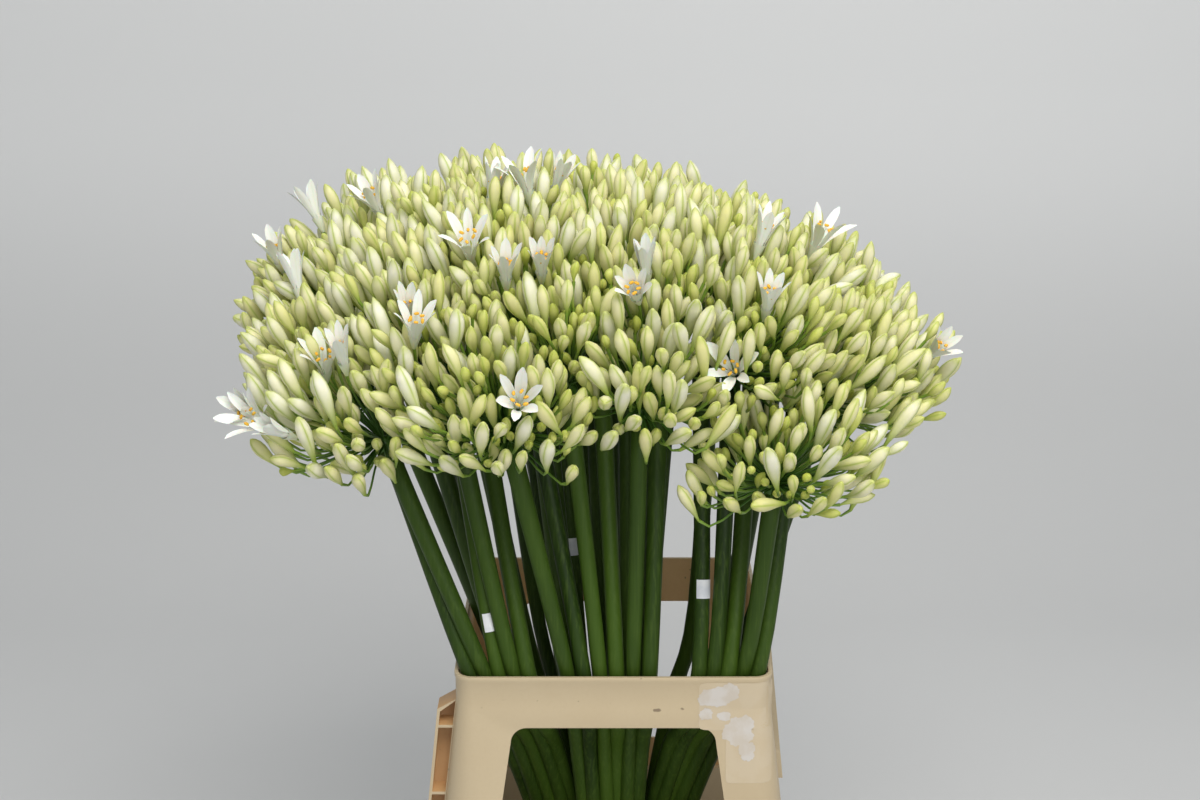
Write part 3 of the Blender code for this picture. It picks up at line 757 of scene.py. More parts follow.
def placed_tepal(number, spin, openness, size, draw):
    """One of the six tepals, leaning and swaying a little its own way, turned to its place."""
    inner = number % 2
    leaf = tepal(
        size * 0.78 * draw.uniform(0.92, 1.05), TEPAL_WIDTHS[inner] * size / TEPAL_WIDTH_SIZE,
        openness * draw.uniform(0.80, 1.25),
    )
    angle = spin + number * math.pi / 3 + draw.uniform(-0.08, 0.08)
    throat = 0.0030 + 0.0026 * openness - (0.0005 if inner else 0.0)
    leaf[:, 1] += throat - 0.0032
    leaf[:, 2] += FLOWER_TUBE * size * 0.86
    sway = draw.uniform(-0.06, 0.06)
    leaf[:, 0] += sway * (leaf[:, 2] - FLOWER_TUBE * size)
    return np.stack([
        leaf[:, 0] * math.cos(angle) - leaf[:, 1] * math.sin(angle),
        leaf[:, 0] * math.sin(angle) + leaf[:, 1] * math.cos(angle),
        leaf[:, 2],
    ], 1)


def stamen(number, spin, openness, size, draw):
    """A filament and the anther across its tip, each as points and faces."""
    tube = FLOWER_TUBE * size
    angle = spin + (number + 0.5) * math.pi / 3
    spread = 0.0035 + 0.0045 * openness * draw.uniform(0.7, 1.2)
    top = tube + size * (0.36 + 0.05 * draw.uniform(-1, 1))
    low = np.array([math.cos(angle) * 0.0015, math.sin(angle) * 0.0015, tube * 0.6])
    high = np.array([math.cos(angle) * spread, math.sin(angle) * spread, top])
    middle = (low + high) / 2 + np.array([0, 0, 0.002])
    filament = tube_mesh(np.array([[low, middle, high]]), np.array([FILAMENT_RADII]), 5)
    tilt = np.array([draw.uniform(-1, 1), draw.uniform(-1, 1), 0.3])
    tilt = tilt / np.linalg.norm(tilt) * ANTHER_HALF
    spine = np.array([[high - tilt * 1.05, high - tilt * 0.6, high + tilt * 0.6, high + tilt * 1.05]])
    return filament, tube_mesh(spine, np.array([ANTHER_RADII]), 6)


def flower_mesh(foot, way, openness, size, draw):
    """Points, faces and attributes of one flower on its tube."""
    points, faces = [], []
    values = {"part": [], "along": [], "rib": []}
    way = unit(np.asarray(way)[None])[0]
    first, second = (v[0] for v in square_frame(way[None]))
    spin = draw.uniform(0, 6.28)

    def add(local, local_faces, part, along, rib):
        start = len(points)
        points.extend(foot + first * x + second * y + way * z for x, y, z in local)
        faces.extend(shifted(local_faces, start))
        for label, data in (("part", [part] * len(local)), ("along", along), ("rib", rib)):
            values[label].extend(data)

    local, sides, rings = [], 12, 5
    for ring in range(rings):
        t = ring / (rings - 1)
        radius = 0.0019 + (0.0052 + 0.002 * openness - 0.0019) * t ** 0.9
        for k in range(sides):
            angle = spin + 2 * math.pi * k / sides
            height = FLOWER_TUBE * size * t * 1.05
            local.append((radius * math.cos(angle), radius * math.sin(angle), height))
    along = [0.3 * (i // sides) / (rings - 1) for i in range(len(local))]
    add(local, ring_faces(1, rings, sides, False), 0.0, along, [0.3] * len(local))

    count = TEPAL_ROWS * TEPAL_COLUMNS
    grid = grid_faces(TEPAL_ROWS, TEPAL_COLUMNS)
    along = [0.3 + 0.7 * (i // TEPAL_COLUMNS) / (TEPAL_ROWS - 1) for i in range(count)]
    rib = [1.0 if i % TEPAL_COLUMNS == TEPAL_COLUMNS // 2 else 0.0 for i in range(count)]
    for number in range(6):
        add(placed_tepal(number, spin, openness, size, draw), grid, 0.0, along, rib)
    if openness > STAMENS_SHOW:
        for number in range(6):
            for part, (local, local_faces) in enumerate(stamen(number, spin, openness, size, draw), 1):
                add(local, local_faces, float(part), [0.5] * len(local), [0.0] * len(local))
    return np.array(points), faces, values


def flower_size(openness):
    return FLOWER_SIZE[0] + (FLOWER_SIZE[1] - FLOWER_SIZE[0]) * openness


def choose_flowers(heads):
    """Turns the frontmost bud near each named pixel into a flower and clears the buds in its way.
    The barely open ones become large white buds."""
    owner, number, tips = [], [], []
    for k, head in enumerate(heads):
        buds = head["buds"]
        for i in range(len(buds["foot"])):
            owner.append(k)
            number.append(i)
            tips.append(buds["foot"][i] + buds["way"][i] * buds["length"][i])
    tips = np.array(tips)
    x, y, depth = to_pixels(tips)
    taken = set()
    for index, (px, py, openness, turn) in enumerate(OPEN_FLOWERS):
        away = np.hypot(x - px, y - py)
        near = away < max(FLOWER_SEARCH, away.min() + 4)
        cost = away + np.where(near, (depth - depth[near].min()) * FLOWER_DEPTH_COST, 1e6)
        for pick in np.argsort(cost):
            if (owner[pick], number[pick]) not in taken:
                break
        taken.add((owner[pick], number[pick]))
        buds, i = heads[owner[pick]]["buds"], number[pick]
        if openness < WHITE_BUD:
            buds["ripe"][i] = 1.0
            buds["length"][i] *= WHITE_BUD_GROWTH
            continue
        buds["open"][i] = index
        centre = np.clip(tips[pick], CAD_BOX[0] + FLOWER_INSET, CAD_BOX[1] - FLOWER_INSET)
        way = buds["way"][i].copy()
        local = tips - centre
        ahead = local @ way
        sideways = np.linalg.norm(local - ahead[:, None] * way[None], axis=1)
        crowd = sideways < FLOWER_CLEAR[0] + FLOWER_CLEAR[1] * openness
        crowd &= ahead > -FLOWER_BEHIND
        for other in np.nonzero(crowd)[0]:
            if (owner[other], number[other]) not in taken:
                heads[owner[other]]["buds"]["open"][number[other]] = OPENED_BUD
        eye = unit((np.array(CAMERA_PLACE) - centre)[None])[0]
        buds["way"][i] = unit((way * (1 - turn * FLOWER_TURN) + eye * turn * FLOWER_TURN)[None])[0]
        height = FLOWER_HEIGHT[0] - FLOWER_HEIGHT[1] * openness
        buds["foot"][i] = centre - buds["way"][i] * flower_size(openness) * height


# Materials


def material(name):
    made = bpy.data.materials.new(name)
    made.use_nodes = True
    return made, made.node_tree, made.node_tree.nodes["Principled BSDF"]


def add_node(tree, kind, inputs=None, **settings):
    made = tree.nodes.new(kind)
    for key, value in settings.items():
        setattr(made, key, value)
    for key, value in (inputs or {}).items():
        if isinstance(value, bpy.types.NodeSocket):
            tree.links.new(value, made.inputs[key])
        else:
            made.inputs[key].default_value = value
    return made


def mixed(tree, factor, low, high):
    """A colour between low and high, each a colour tuple or a socket."""
    made = add_node(tree, "ShaderNodeMix", data_type="RGBA")
    for key, value in ((0, factor), (6, low), (7, high)):
        if isinstance(value, bpy.types.NodeSocket):
            tree.links.new(value, made.inputs[key])
        elif key == 0:
            made.inputs[key].default_value = value
        else:
            made.inputs[key].default_value = (*value, 1.0)
    return made.outputs[2]


def ranged(tree, value, low, high, to_low=0.0, to_high=1.0):
    made = add_node(tree, "ShaderNodeMapRange", {0: value, 1: low, 2: high, 3: to_low, 4: to_high})
    made.interpolation_type = "SMOOTHSTEP"
    return made.outputs[0]


def wash(tree, body, colour, mask, *limits):
    """A colour laid over the body where the mask passes its limits."""
    return mixed(tree, ranged(tree, mask, *limits), body, colour)


def calculate(tree, operation, a, b):
    made = add_node(tree, "ShaderNodeMath", {0: a, 1: b}, operation=operation)
    return made.outputs[0]


def attribute(tree, name):
    return add_node(tree, "ShaderNodeAttribute", attribute_name=name).outputs["Fac"]


def object_noise(tree, scale, stretch=(1, 1, 1), detail=4.0):
    where = add_node(tree, "ShaderNodeTexCoord").outputs["Object"]
    placed = add_node(tree, "ShaderNodeMapping", {"Vector": where, "Scale": stretch}).outputs[0]
    inputs = {"Vector": placed, "Scale": scale, "Detail": detail}
    return add_node(tree, "ShaderNodeTexNoise", inputs).outputs[0]


def coat(tree, shader, colour, roughness, **others):
    """Gives the shader its sockets: a node's output is linked, a plain value is set."""
    sockets = {"Base Color": colour, "Roughness": roughness}
    sockets.update({key.replace("_", " "): value for key, value in others.items()})
    for key, value in sockets.items():
        if isinstance(value, bpy.types.NodeSocket):
            tree.links.new(value, shader.inputs[key])
        else:
            shader.inputs[key].default_value = value


def roughen(tree, shader, height, strength, distance):
    inputs = {"Height": height, "Strength": strength, "Distance": distance}
    bump = add_node(tree, "ShaderNodeBump", inputs)
    tree.links.new(bump.outputs[0], shader.inputs["Normal"])


def bud_material():
    made, tree, shader = material("bud_skin")
    along = attribute(tree, "along")
    rib = attribute(tree, "rib")
    ripe = attribute(tree, "ripe")
    tone = attribute(tree, "tone")
    cream = mixed(tree, tone, (0.75, 0.71, 0.31), (0.89, 0.84, 0.57))
    green = mixed(tree, tone, (0.50, 0.54, 0.08), (0.67, 0.67, 0.20))
    body = wash(tree, green, cream, ripe, 0.10, 0.65)
    body = wash(tree, body, (0.89, 0.87, 0.72), ripe, 0.78, 1.0, 0.0, 0.85)
    fine = object_noise(tree, 60.0)
    body = wash(tree, body, (0.58, 0.62, 0.28), fine, 0.35, 0.7, 0.0, 0.25)
    fading = ranged(tree, along, 0.12, 0.6, 0.35, 0.95)
    line = calculate(tree, "MULTIPLY", calculate(tree, "POWER", rib, 3.0), fading)
    body = mixed(tree, line, body, (0.38, 0.47, 0.07))
    body = wash(tree, body, (0.44, 0.50, 0.08), along, 0.80, 1.0, 0.0, 0.75)
    body = wash(tree, body, (0.50, 0.57, 0.13), along, 0.20, 0.72, 0.55, 0.0)
    body = wash(tree, body, (0.28, 0.39, 0.045), along, 0.0, 0.40, 0.95, 0.0)
    coat(tree, shader, body, 0.42, Specular_IOR_Level=0.35, Subsurface_Weight=0.25,
         Subsurface_Radius=(1.0, 1.0, 0.4), Subsurface_Scale=0.004)
    return made


def stalk_material():
    made, tree, shader = material("pedicel_skin")
    along = attribute(tree, "along")
    body = mixed(tree, ranged(tree, along, 0.35, 1.0), (0.055, 0.140, 0.016), (0.24, 0.38, 0.055))
    fine = object_noise(tree, 90.0)
    body = wash(tree, body, (0.08, 0.18, 0.02), fine, 0.3, 0.7, 0.0, 0.3)
    coat(tree, shader, body, 0.4, Specular_IOR_Level=0.4)
    return made


def petal_material():
    made, tree, shader = material("petal_and_stamens")
    part = attribute(tree, "part")
    along = attribute(tree, "along")
    rib = attribute(tree, "rib")
    white = mixed(tree, object_noise(tree, 120.0), (0.84, 0.86, 0.79), (0.89, 0.89, 0.85))
    line = calculate(tree, "MULTIPLY", calculate(tree, "POWER", rib, 3.0), 0.35)
    white = mixed(tree, line, white, (0.72, 0.78, 0.58))
    white = wash(tree, white, (0.74, 0.80, 0.50), along, 0.0, 0.5, 0.65, 0.0)
    both = wash(tree, white, (0.88, 0.88, 0.74), part, 0.9, 1.1)
    both = wash(tree, both, (0.80, 0.46, 0.05), part, 1.6, 1.9)
    coat(tree, shader, both, 0.5, Specular_IOR_Level=0.25, Subsurface_Weight=0.2, Subsurface_Scale=0.003)
    return made


def scape_material():
    made, tree, shader = material("scape_skin")
    streak = object_noise(tree, 420.0, (1.0, 1.0, 0.02), 2.0)
    broad = object_noise(tree, 14.0, (1.0, 1.0, 0.35), 3.0)
    tone = attribute(tree, "tone")
    body = mixed(tree, tone, (0.011, 0.028, 0.003), (0.044, 0.088, 0.007))
    body = wash(tree, body, (0.054, 0.106, 0.009), broad, 0.38, 0.66, 0.0, 0.5)
    body = wash(tree, body, (0.072, 0.124, 0.016), streak, 0.45, 0.75, 0.0, 0.45)
    coat(tree, shader, body, ranged(tree, broad, 0.3, 0.7, 0.42, 0.56), Specular_IOR_Level=0.22)
    roughen(tree, shader, streak, 0.25, 0.0004)
    return made


def plastic_material(name, colour, deep):
    made, tree, shader = material(name)
    broad = object_noise(tree, 7.0, detail=3.0)
    fine = object_noise(tree, 260.0, detail=2.0)
    dots = object_noise(tree, 95.0, detail=1.0)
    body = wash(tree, colour, deep, broad, 0.35, 0.7, 0.0, 0.5)
    body = wash(tree, body, deep, fine, 0.4, 0.8, 0.0, 0.18)
    body = wash(tree, body, (0.16, 0.11, 0.07), dots, 0.74, 0.80, 0.0, 0.75)
    coat(tree, shader, body, ranged(tree, broad, 0.3, 0.7, 0.38, 0.5), Specular_IOR_Level=0.4)
    roughen(tree, shader, fine, 0.12, 0.0003)
    return made


def water_material():
    made, tree, shader = material("clear_water")
    tint = mixed(tree, object_noise(tree, 5.0), (0.72, 0.82, 0.76), (0.80, 0.88, 0.82))
    coat(tree, shader, tint, 0.03, IOR=1.33, Transmission_Weight=0.9)
    return made


def rubber_material():
    made, tree, shader = material("tan_rubber")
    tint = mixed(tree, object_noise(tree, 150.0), (0.40, 0.28, 0.14), (0.48, 0.35, 0.18))
    coat(tree, shader, tint, 0.7)
    return made


def paper_material(name, colour, stain):
    made, tree, shader = material(name)
    blot = object_noise(tree, 45.0, detail=6.0)
    tint = wash(tree, colour, stain, blot, 0.42, 0.62)
    coat(tree, shader, tint, 0.75)
    return made


def stage_material():
    made, tree, shader = material("studio_grey_painted_light")
    where = add_node(tree, "ShaderNodeTexCoord").outputs["Object"]
    split = add_node(tree, "ShaderNodeSeparateXYZ", {0: where})
    cloud = object_noise(tree, 0.9, detail=3.0)
    tint = mixed(tree, cloud, (0.595, 0.595, 0.59), (0.64, 0.64, 0.635))
    # Painted light: the backdrop is made lighter towards -x and much lighter towards the top, where the
    # lamps light it from above
    tint = wash(tree, tint, (0.69, 0.69, 0.69), split.outputs[0], -1.2, 1.2, 0.12, 0.0)
    tint = wash(tree, tint, (0.82, 0.82, 0.815), split.outputs[2], 0.2, 0.9)
    coat(tree, shader, tint, 0.85, Specular_IOR_Level=0.1)
    return made


# Bucket and collar, finer than the CAD


def rounded_square(half, corner, z):
    points = []
    inner = half - corner
    for quarter in range(4):
        start = quarter * math.pi / 2
        signs = ((1, 1), (-1, 1), (-1, -1), (1, -1))[quarter]
        for step in range(CORNER_STEPS + 1):
            angle = start + step / CORNER_STEPS * math.pi / 2
            x = inner * signs[0] + corner * math.cos(angle)
            points.append((x, inner * signs[1] + corner * math.sin(angle), z))
    return points


def loft(name, sections, finish, closed=False):
    rings = [rounded_square(*section) for section in sections]
    count = len(rings[0])
    points = [p for ring in rings for p in ring]
    faces = []
    spans = len(rings) if closed else len(rings) - 1
    for low in range(spans):
        here, above = low * count, (low + 1) % len(rings) * count
        for k in range(count):
            after = (k + 1) % count
            faces.append((here + k, here + after, above + after, above + k))
    if not closed:
        faces.append(tuple(reversed(range(count))))
        faces.append(tuple(range((len(rings) - 1) * count, len(rings) * count)))
    return new_mesh(name, points, faces, finish, smooth=False)


def prism(name, outline, start, depth, finish):
    count = len(outline)
    points = [(x, start, z) for x, z in outline] + [(x, start + depth, z) for x, z in outline]
    area = sum(
        outline[k][0] * outline[(k + 1) % count][1] - outline[(k + 1) % count][0] * outline[k][1]
        for k in range(count)
    )
    faces = [tuple(range(count)), tuple(reversed(range(count, 2 * count)))]
    for k in range(count):
        after = (k + 1) % count
        faces.append((k, k + count, after + count, after))
    if area < 0:
        faces = [tuple(reversed(face)) for face in faces]
    return new_mesh(name, points, faces, finish, smooth=False)


def window_outline(corner, steps=8):
    low = WINDOW_HALF_TOP + COLLAR_FLARE * (WINDOW_TOP - WINDOW_SILL)
    corners = [
        (low, WINDOW_SILL, -90), (WINDOW_HALF_TOP, WINDOW_TOP, 0),
        (-WINDOW_HALF_TOP, WINDOW_TOP, 90), (-low, WINDOW_SILL, 180),
    ]
    points = []
    for x, z, start in corners:
        centre_x = x - math.copysign(corner, x)
        centre_z = z - math.copysign(corner, z - (WINDOW_TOP + WINDOW_SILL) / 2)
        for step in range(steps + 1):
            angle = math.radians(start + 90 * step / steps)
            points.append((centre_x + corner * math.cos(angle), centre_z + corner * math.sin(angle)))
    return points


def ear_edge(z):
    share = (COLLAR_TOP - EAR_DROP_EDGE - z) / (COLLAR_TOP - EAR_DROP_EDGE - EAR_FOOT)
    return EAR_REACH_TOP + (EAR_REACH_FOOT - EAR_REACH_TOP) * share


def ear_outline(reach_in, inset, top_wall, top_edge, foot):
    return [
        (-(collar_half(top_wall) + reach_in), top_wall),
        (-(collar_half(foot) + reach_in), foot),
        (-(collar_half(foot) + ear_edge(foot) - inset), foot),
        (-(collar_half(top_edge) + ear_edge(top_edge) - inset), top_edge),
    ]


def make_ear(side, finish):
    """The box beside one upright and the pockets between its ribs."""
    start = -EAR_START - EAR_DEPTH
    top_wall = COLLAR_TOP - EAR_DROP_WALL
    top_edge = COLLAR_TOP - EAR_DROP_EDGE
    box = prism(
        "ear_tool", ear_outline(-EAR_BITE, 0.0, top_wall, top_edge, EAR_FOOT), start, EAR_DEPTH, finish,
    )
    edges = [COLLAR_TOP - EAR_FIRST_RIB - EAR_RIB_PITCH * k for k in range(5)]
    pockets = []
    for high, low in zip([None, *edges], edges):
        top = top_wall - EAR_PLATE if high is None else high - EAR_PLATE / 2
        out = top_edge - EAR_PLATE if high is None else top
        bottom = max(low + EAR_PLATE / 2, EAR_FOOT + EAR_PLATE)
        if bottom > out - EAR_PLATE:
            continue
        pockets.append(prism(
            "pocket_tool", ear_outline(POCKET_CLEAR, EAR_PLATE, top, out, bottom),
            start - POCKET_OVERCUT, EAR_DEPTH + POCKET_OVERCUT - EAR_PLATE, finish,
        ))
    for obj in [box, *pockets]:
        for vertex in obj.data.vertices:
            vertex.co.y -= EAR_SLANT * COLLAR_FLARE * (top_wall - vertex.co.z)
            if side < 0:
                vertex.co.x, vertex.co.y = -vertex.co.x, -vertex.co.y
    return box, pockets


def carve(body, tools):
    """Applies (tool, operation) Booleans one after another and removes the tools."""
    for tool, operation in tools:
        modifier = body.modifiers.new("carve", "BOOLEAN")
        modifier.operation = operation
        modifier.object = tool
        modifier.solver = "EXACT"
    apply_modifiers(body)
    for tool, _ in tools:
        bpy.data.objects.remove(tool)


def apply_modifiers(body):
    bpy.context.view_layer.update()
    graph = bpy.context.evaluated_depsgraph_get()
    mesh = bpy.data.meshes.new_from_object(body.evaluated_get(graph))
    body.modifiers.clear()
    body.data = mesh


def soften(body, width):
    """Rounds sharp edges a little and shades the rest smooth."""
    modifier = body.modifiers.new("edges", "BEVEL")
    modifier.width = width
    modifier.segments = 2
    modifier.limit_method = "ANGLE"
    modifier.angle_limit = math.radians(40)
    apply_modifiers(body)
    body.data.polygons.foreach_set("use_smooth", [True] * len(body.data.polygons))
    body.data.set_sharp_from_angle(angle=math.radians(50))


def make_bucket(finish):
    inner = BUCKET_CORNER - WALL
    lip = BUCKET_CORNER + LIP_HALF - BUCKET_MOUTH_HALF
    under = BUCKET_TOP - LIP_DROP
    bucket = loft("bucket_shell", [
        (BUCKET_FOOT_HALF - FOOT_CHAMFER, BUCKET_CORNER - FOOT_CHAMFER, 0.0),
        (bucket_half(FOOT_CHAMFER), BUCKET_CORNER, FOOT_CHAMFER),
        (bucket_half(under), BUCKET_CORNER, under),
        (LIP_HALF, lip, under + LIP_SLOPE),
        (LIP_HALF, lip, BUCKET_TOP + LIP_HEIGHT),
        (LIP_HALF - WALL, lip - WALL, BUCKET_TOP + LIP_HEIGHT),
        (LIP_HALF - WALL, lip - WALL, BUCKET_TOP),
        (bucket_half(BUCKET_TOP) - WALL, inner, BUCKET_TOP),
        (bucket_half(BUCKET_FLOOR) - WALL, inner, BUCKET_FLOOR),
    ], finish)
    soften(bucket, EDGE_SOFTNESS)
    return bucket


def make_collar(finish, shade, painted_glow_finish):
    foot = BUCKET_TOP + SEAT_GAP
    shoulder = COLLAR_TOP - COLLAR_STRAIGHT
    bead = COLLAR_TOP - RIM_BEAD_HEIGHT
    inner = COLLAR_CORNER - COLLAR_WALL
    collar = loft("collar_shell", [
        (collar_half(foot), COLLAR_FOOT_CORNER, foot),
        (COLLAR_HALF, COLLAR_CORNER, shoulder),
        (COLLAR_HALF, COLLAR_CORNER, bead),
        (COLLAR_HALF + RIM_BEAD, COLLAR_CORNER + RIM_BEAD, bead + 2 * RIM_BEAD),
        (COLLAR_HALF + RIM_BEAD, COLLAR_CORNER + RIM_BEAD, COLLAR_TOP),
        (COLLAR_HALF - COLLAR_WALL, inner, COLLAR_TOP),
        (COLLAR_HALF - COLLAR_WALL, inner, shoulder),
        (collar_half(foot) - COLLAR_WALL, COLLAR_FOOT_CORNER - COLLAR_WALL, foot),
    ], finish, closed=True)
    tools = []
    for side in (1, -1):
        box, pockets = make_ear(side, finish)
        tools.append((box, "UNION"))
        tools += [(pocket, "DIFFERENCE") for pocket in pockets]
    outline = window_outline(WINDOW_CORNER)
    along_y = prism("window_tool", outline, -WINDOW_CUT_HALF, 2 * WINDOW_CUT_HALF, finish)
    along_x = prism("window_tool", outline, -WINDOW_CUT_HALF, 2 * WINDOW_CUT_HALF, finish)
    for vertex in along_x.data.vertices:
        vertex.co.x, vertex.co.y = -vertex.co.y, vertex.co.x
    tools += [(along_y, "DIFFERENCE"), (along_x, "DIFFERENCE")]
    carve(collar, tools)
    soften(collar, EDGE_SOFTNESS)
    collar.data.materials.clear()
    for skin in (finish, shade, painted_glow_finish):
        collar.data.materials.append(skin)
    # The collar's inner faces (index 2) get a painted warm glow of light through the plastic
    for face in collar.data.polygons:
        middle = face.center
        normal = face.normal
        flip = 1 if middle.x < 0 else -1
        x, y = middle.x * flip, middle.y * flip
        out = -x - collar_half(middle.z)
        lean = EAR_SLANT * COLLAR_FLARE * (COLLAR_TOP - EAR_DROP_WALL - middle.z)
        front = -EAR_START - EAR_DEPTH - lean
        inside = 0.0009 < out < ear_edge(middle.z) - 0.0010
        inside = inside and front + 0.0012 < y < front + EAR_DEPTH - 0.0010
        # faces inside the ear pockets get the painted shade, tinted orange-brown
        if inside and normal.y * flip < 0.6:
            face.material_index = 1
        elif max(abs(middle.x), abs(middle.y)) < collar_half(middle.z) - 0.0012 and (
                normal.x * middle.x + normal.y * middle.y < 0):
            face.material_index = 2
        else:
            face.material_index = 0
    return collar


# Scapes and stickers


def smooth_route(route, steps):
    """A curve through the route's points, straight along its last span."""
    points = [np.array(p) for p in route]
    points = [2 * points[0] - points[1], *points, 2 * points[-1] - points[-2]]
    out = []
    for k in range(1, len(points) - 2):
        a, b, c, d = points[k - 1: k + 3]
        for step in range(steps):
            t = step / steps
            out.append(0.5 * (
                2 * b + (c - a) * t + (2 * a - 5 * b + 4 * c - d) * t ** 2
                + (3 * b - a - 3 * c + d) * t ** 3
            ))
    out.append(points[-2])
    return np.array(out)


def scape_radius(spine):
    """Half thickness along a scape before its swell: wider from the rim up to the umbel."""
    high = np.clip((spine[:, 2] - RIM_Z) / (spine[-1, 2] - RIM_Z), 0, 1)
    return STEM_RADIUS + (STEM_RADIUS_TOP - STEM_RADIUS) * high ** 1.4


def make_scapes(name, members, routes, swells, finish, draw):
    points, faces, tones = [], [], []
    start = 0
    for k in members:
        spine = smooth_route(routes[k], 5)
        share = np.linspace(0, 1, len(spine))
        uneven = 1 + 0.015 * np.sin(share * 17 + draw.uniform(0, 6.28))
        radii = scape_radius(spine) * swells[k] * uneven
        pts, fcs = tube_mesh(spine[None], radii[None], SCAPE_SIDES)
        points.append(pts)
        faces.extend(shifted(fcs, start))
        faces.append(tuple(start + i for i in reversed(range(SCAPE_SIDES))))
        last = start + len(pts) - SCAPE_SIDES
        faces.append(tuple(last + i for i in range(SCAPE_SIDES)))
        tones.append(np.full(len(pts), draw.uniform(0, 1)))
        start += len(pts)
    return new_mesh(name, np.concatenate(points), faces, finish, values={"tone": np.concatenate(tones)})


def scape_at_pixel(routes, swells, px, py):
    """The frontmost scape crossing a pixel: its point, direction and radius there."""
    best = None
    for k, route in enumerate(routes):
        spine = smooth_route(route, 30)
        x, y, depth = to_pixels(spine)
        i = int(np.argmin(np.hypot(x - px, y - py)))
        away = math.hypot(x[i] - px, y[i] - py)
        cost = depth[i] * 1000 if away < 7 else 1e5 + away
        if best is None or cost < best[0]:
            way = unit((spine[i + 1] - spine[i - 1])[None])[0]
            best = (cost, spine[i], way, scape_radius(spine)[i] * swells[k])
    return best[1:]


def make_sticker(name, place, way, radius, finish):
    """A small blank label wrapped round the camera's side of a scape."""
    eye = np.array(CAMERA_PLACE) - place
    face = unit((eye - way * (eye @ way))[None])[0]
    side = np.cross(way, face)
    points = []
    columns, rows = 9, 3
    for row in range(rows):
        for column in range(columns):
            angle = math.radians(STICKER_WRAP * (column / (columns - 1) - 0.5)) + STICKER_TURN
            lift = radius * 1.03 + 0.0004
            height = (row / (rows - 1) - 0.5) * STICKER_HEIGHT
            round_it = face * math.cos(angle) * lift + side * math.sin(angle) * lift
            points.append(place + way * height + round_it)
    return new_mesh(name, points, grid_faces(rows, columns), finish)


# Torn label left on the collar's front


def make_torn_patch(name, centre, reach_x, reach_z, layer, finish, draw):
    """A thin scrap lying on the collar's front face: squarish with rounded corners for the glue
    that is left, and raggedly torn for the paper."""
    points = []
    rim = 96
    rough, power = (0.006, 14) if layer == 0 else (0.10, 2.4)
    waves = [
        (n, draw.uniform(0, 6.28), rough * draw.uniform(0.5, 1.3) / n ** 0.35)
        for n in (2, 3, 5, 8, 13, 21)
    ]
    rings = [step / 10 for step in range(11)]
    for ring in rings:
        for k in range(rim):
            angle = 2 * math.pi * k / rim
            square = (abs(math.cos(angle)) ** power + abs(math.sin(angle)) ** power) ** (-1 / power)
            wobble = square * (1 + sum(size * math.sin(n * angle + start) for n, start, size in waves))
            x = centre.x + reach_x * wobble * ring * math.cos(angle)
            z = centre.z + reach_z * wobble * ring * math.sin(angle)
            lift = 0.00020 + 0.00012 * layer
            points.append((x, collar_front(x, z) - lift, z))
    faces = []
    for ring in range(len(rings) - 1):
        for k in range(rim):
            after = (k + 1) % rim
            if ring == 0:
                faces.append((k, rim + k, rim + after))
            else:
                low = ring * rim
                faces.append((low + k, low + rim + k, low + rim + after, low + after))
    return new_mesh(name, points, faces, finish)


# Stage, lights and camera


def make_stage(finish):
    """A floor that curves up into a wall."""
    floor_back, bend, wall_top, half = 1.35, 0.9, 4.2, 5.0
    outline = [(-4.5, 0.0), (floor_back, 0.0)]
    for step in range(1, 17):
        angle = step / 16 * math.pi / 2
        outline.append((floor_back + bend * math.sin(angle), bend * (1 - math.cos(angle))))
    outline.append((floor_back + bend, wall_top))
    points = [(x, y, z) for y, z in outline for x in (-half, half)]
    faces = [(2 * k, 2 * k + 1, 2 * k + 3, 2 * k + 2) for k in range(len(outline) - 1)]
    floor = new_mesh("studio_sweep", points, faces, finish)


def add_light(name, place, target, size, power, colour):
    data = bpy.data.lights.new(name, "AREA")
    data.shape = "RECTANGLE"
    data.size, data.size_y = size
    data.energy = power
    data.color = colour
    obj = bpy.data.objects.new(name, data)
    obj.location = place
    obj.rotation_euler = (Vector(target) - Vector(place)).to_track_quat("-Z", "Y").to_euler()
    bpy.context.scene.collection.objects.link(obj)


def set_lights():
    world = bpy.data.worlds.new("studio_air")
    world.use_nodes = True
    air = world.node_tree.nodes["Background"]
    air.inputs[0].default_value = (*AIR_COLOUR, 1.0)
    air.inputs[1].default_value = AIR_STRENGTH
    bpy.context.scene.world = world
    for light in LIGHTS:
        add_light(*light)


def set_camera():
    data = bpy.data.cameras.new("photo_camera")
    data.lens = CAMERA_LENS
    data.sensor_width = 36.0
    obj = bpy.data.objects.new("photo_camera", data)
    obj.location = CAMERA_PLACE
    obj.rotation_euler = (math.pi / 2 - CAMERA_PITCH, 0.0, 0.0)
    bpy.context.scene.collection.objects.link(obj)
    bpy.context.scene.camera = obj


# Putting it together


def dress(obj, node=None):
    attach(obj, "root")
    if node:
        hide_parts(node)


def refinish(node, finish):
    """Gives a CAD node that stays a better material."""
    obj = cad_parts[node]
    obj.data.materials.clear()
    obj.data.materials.append(finish)


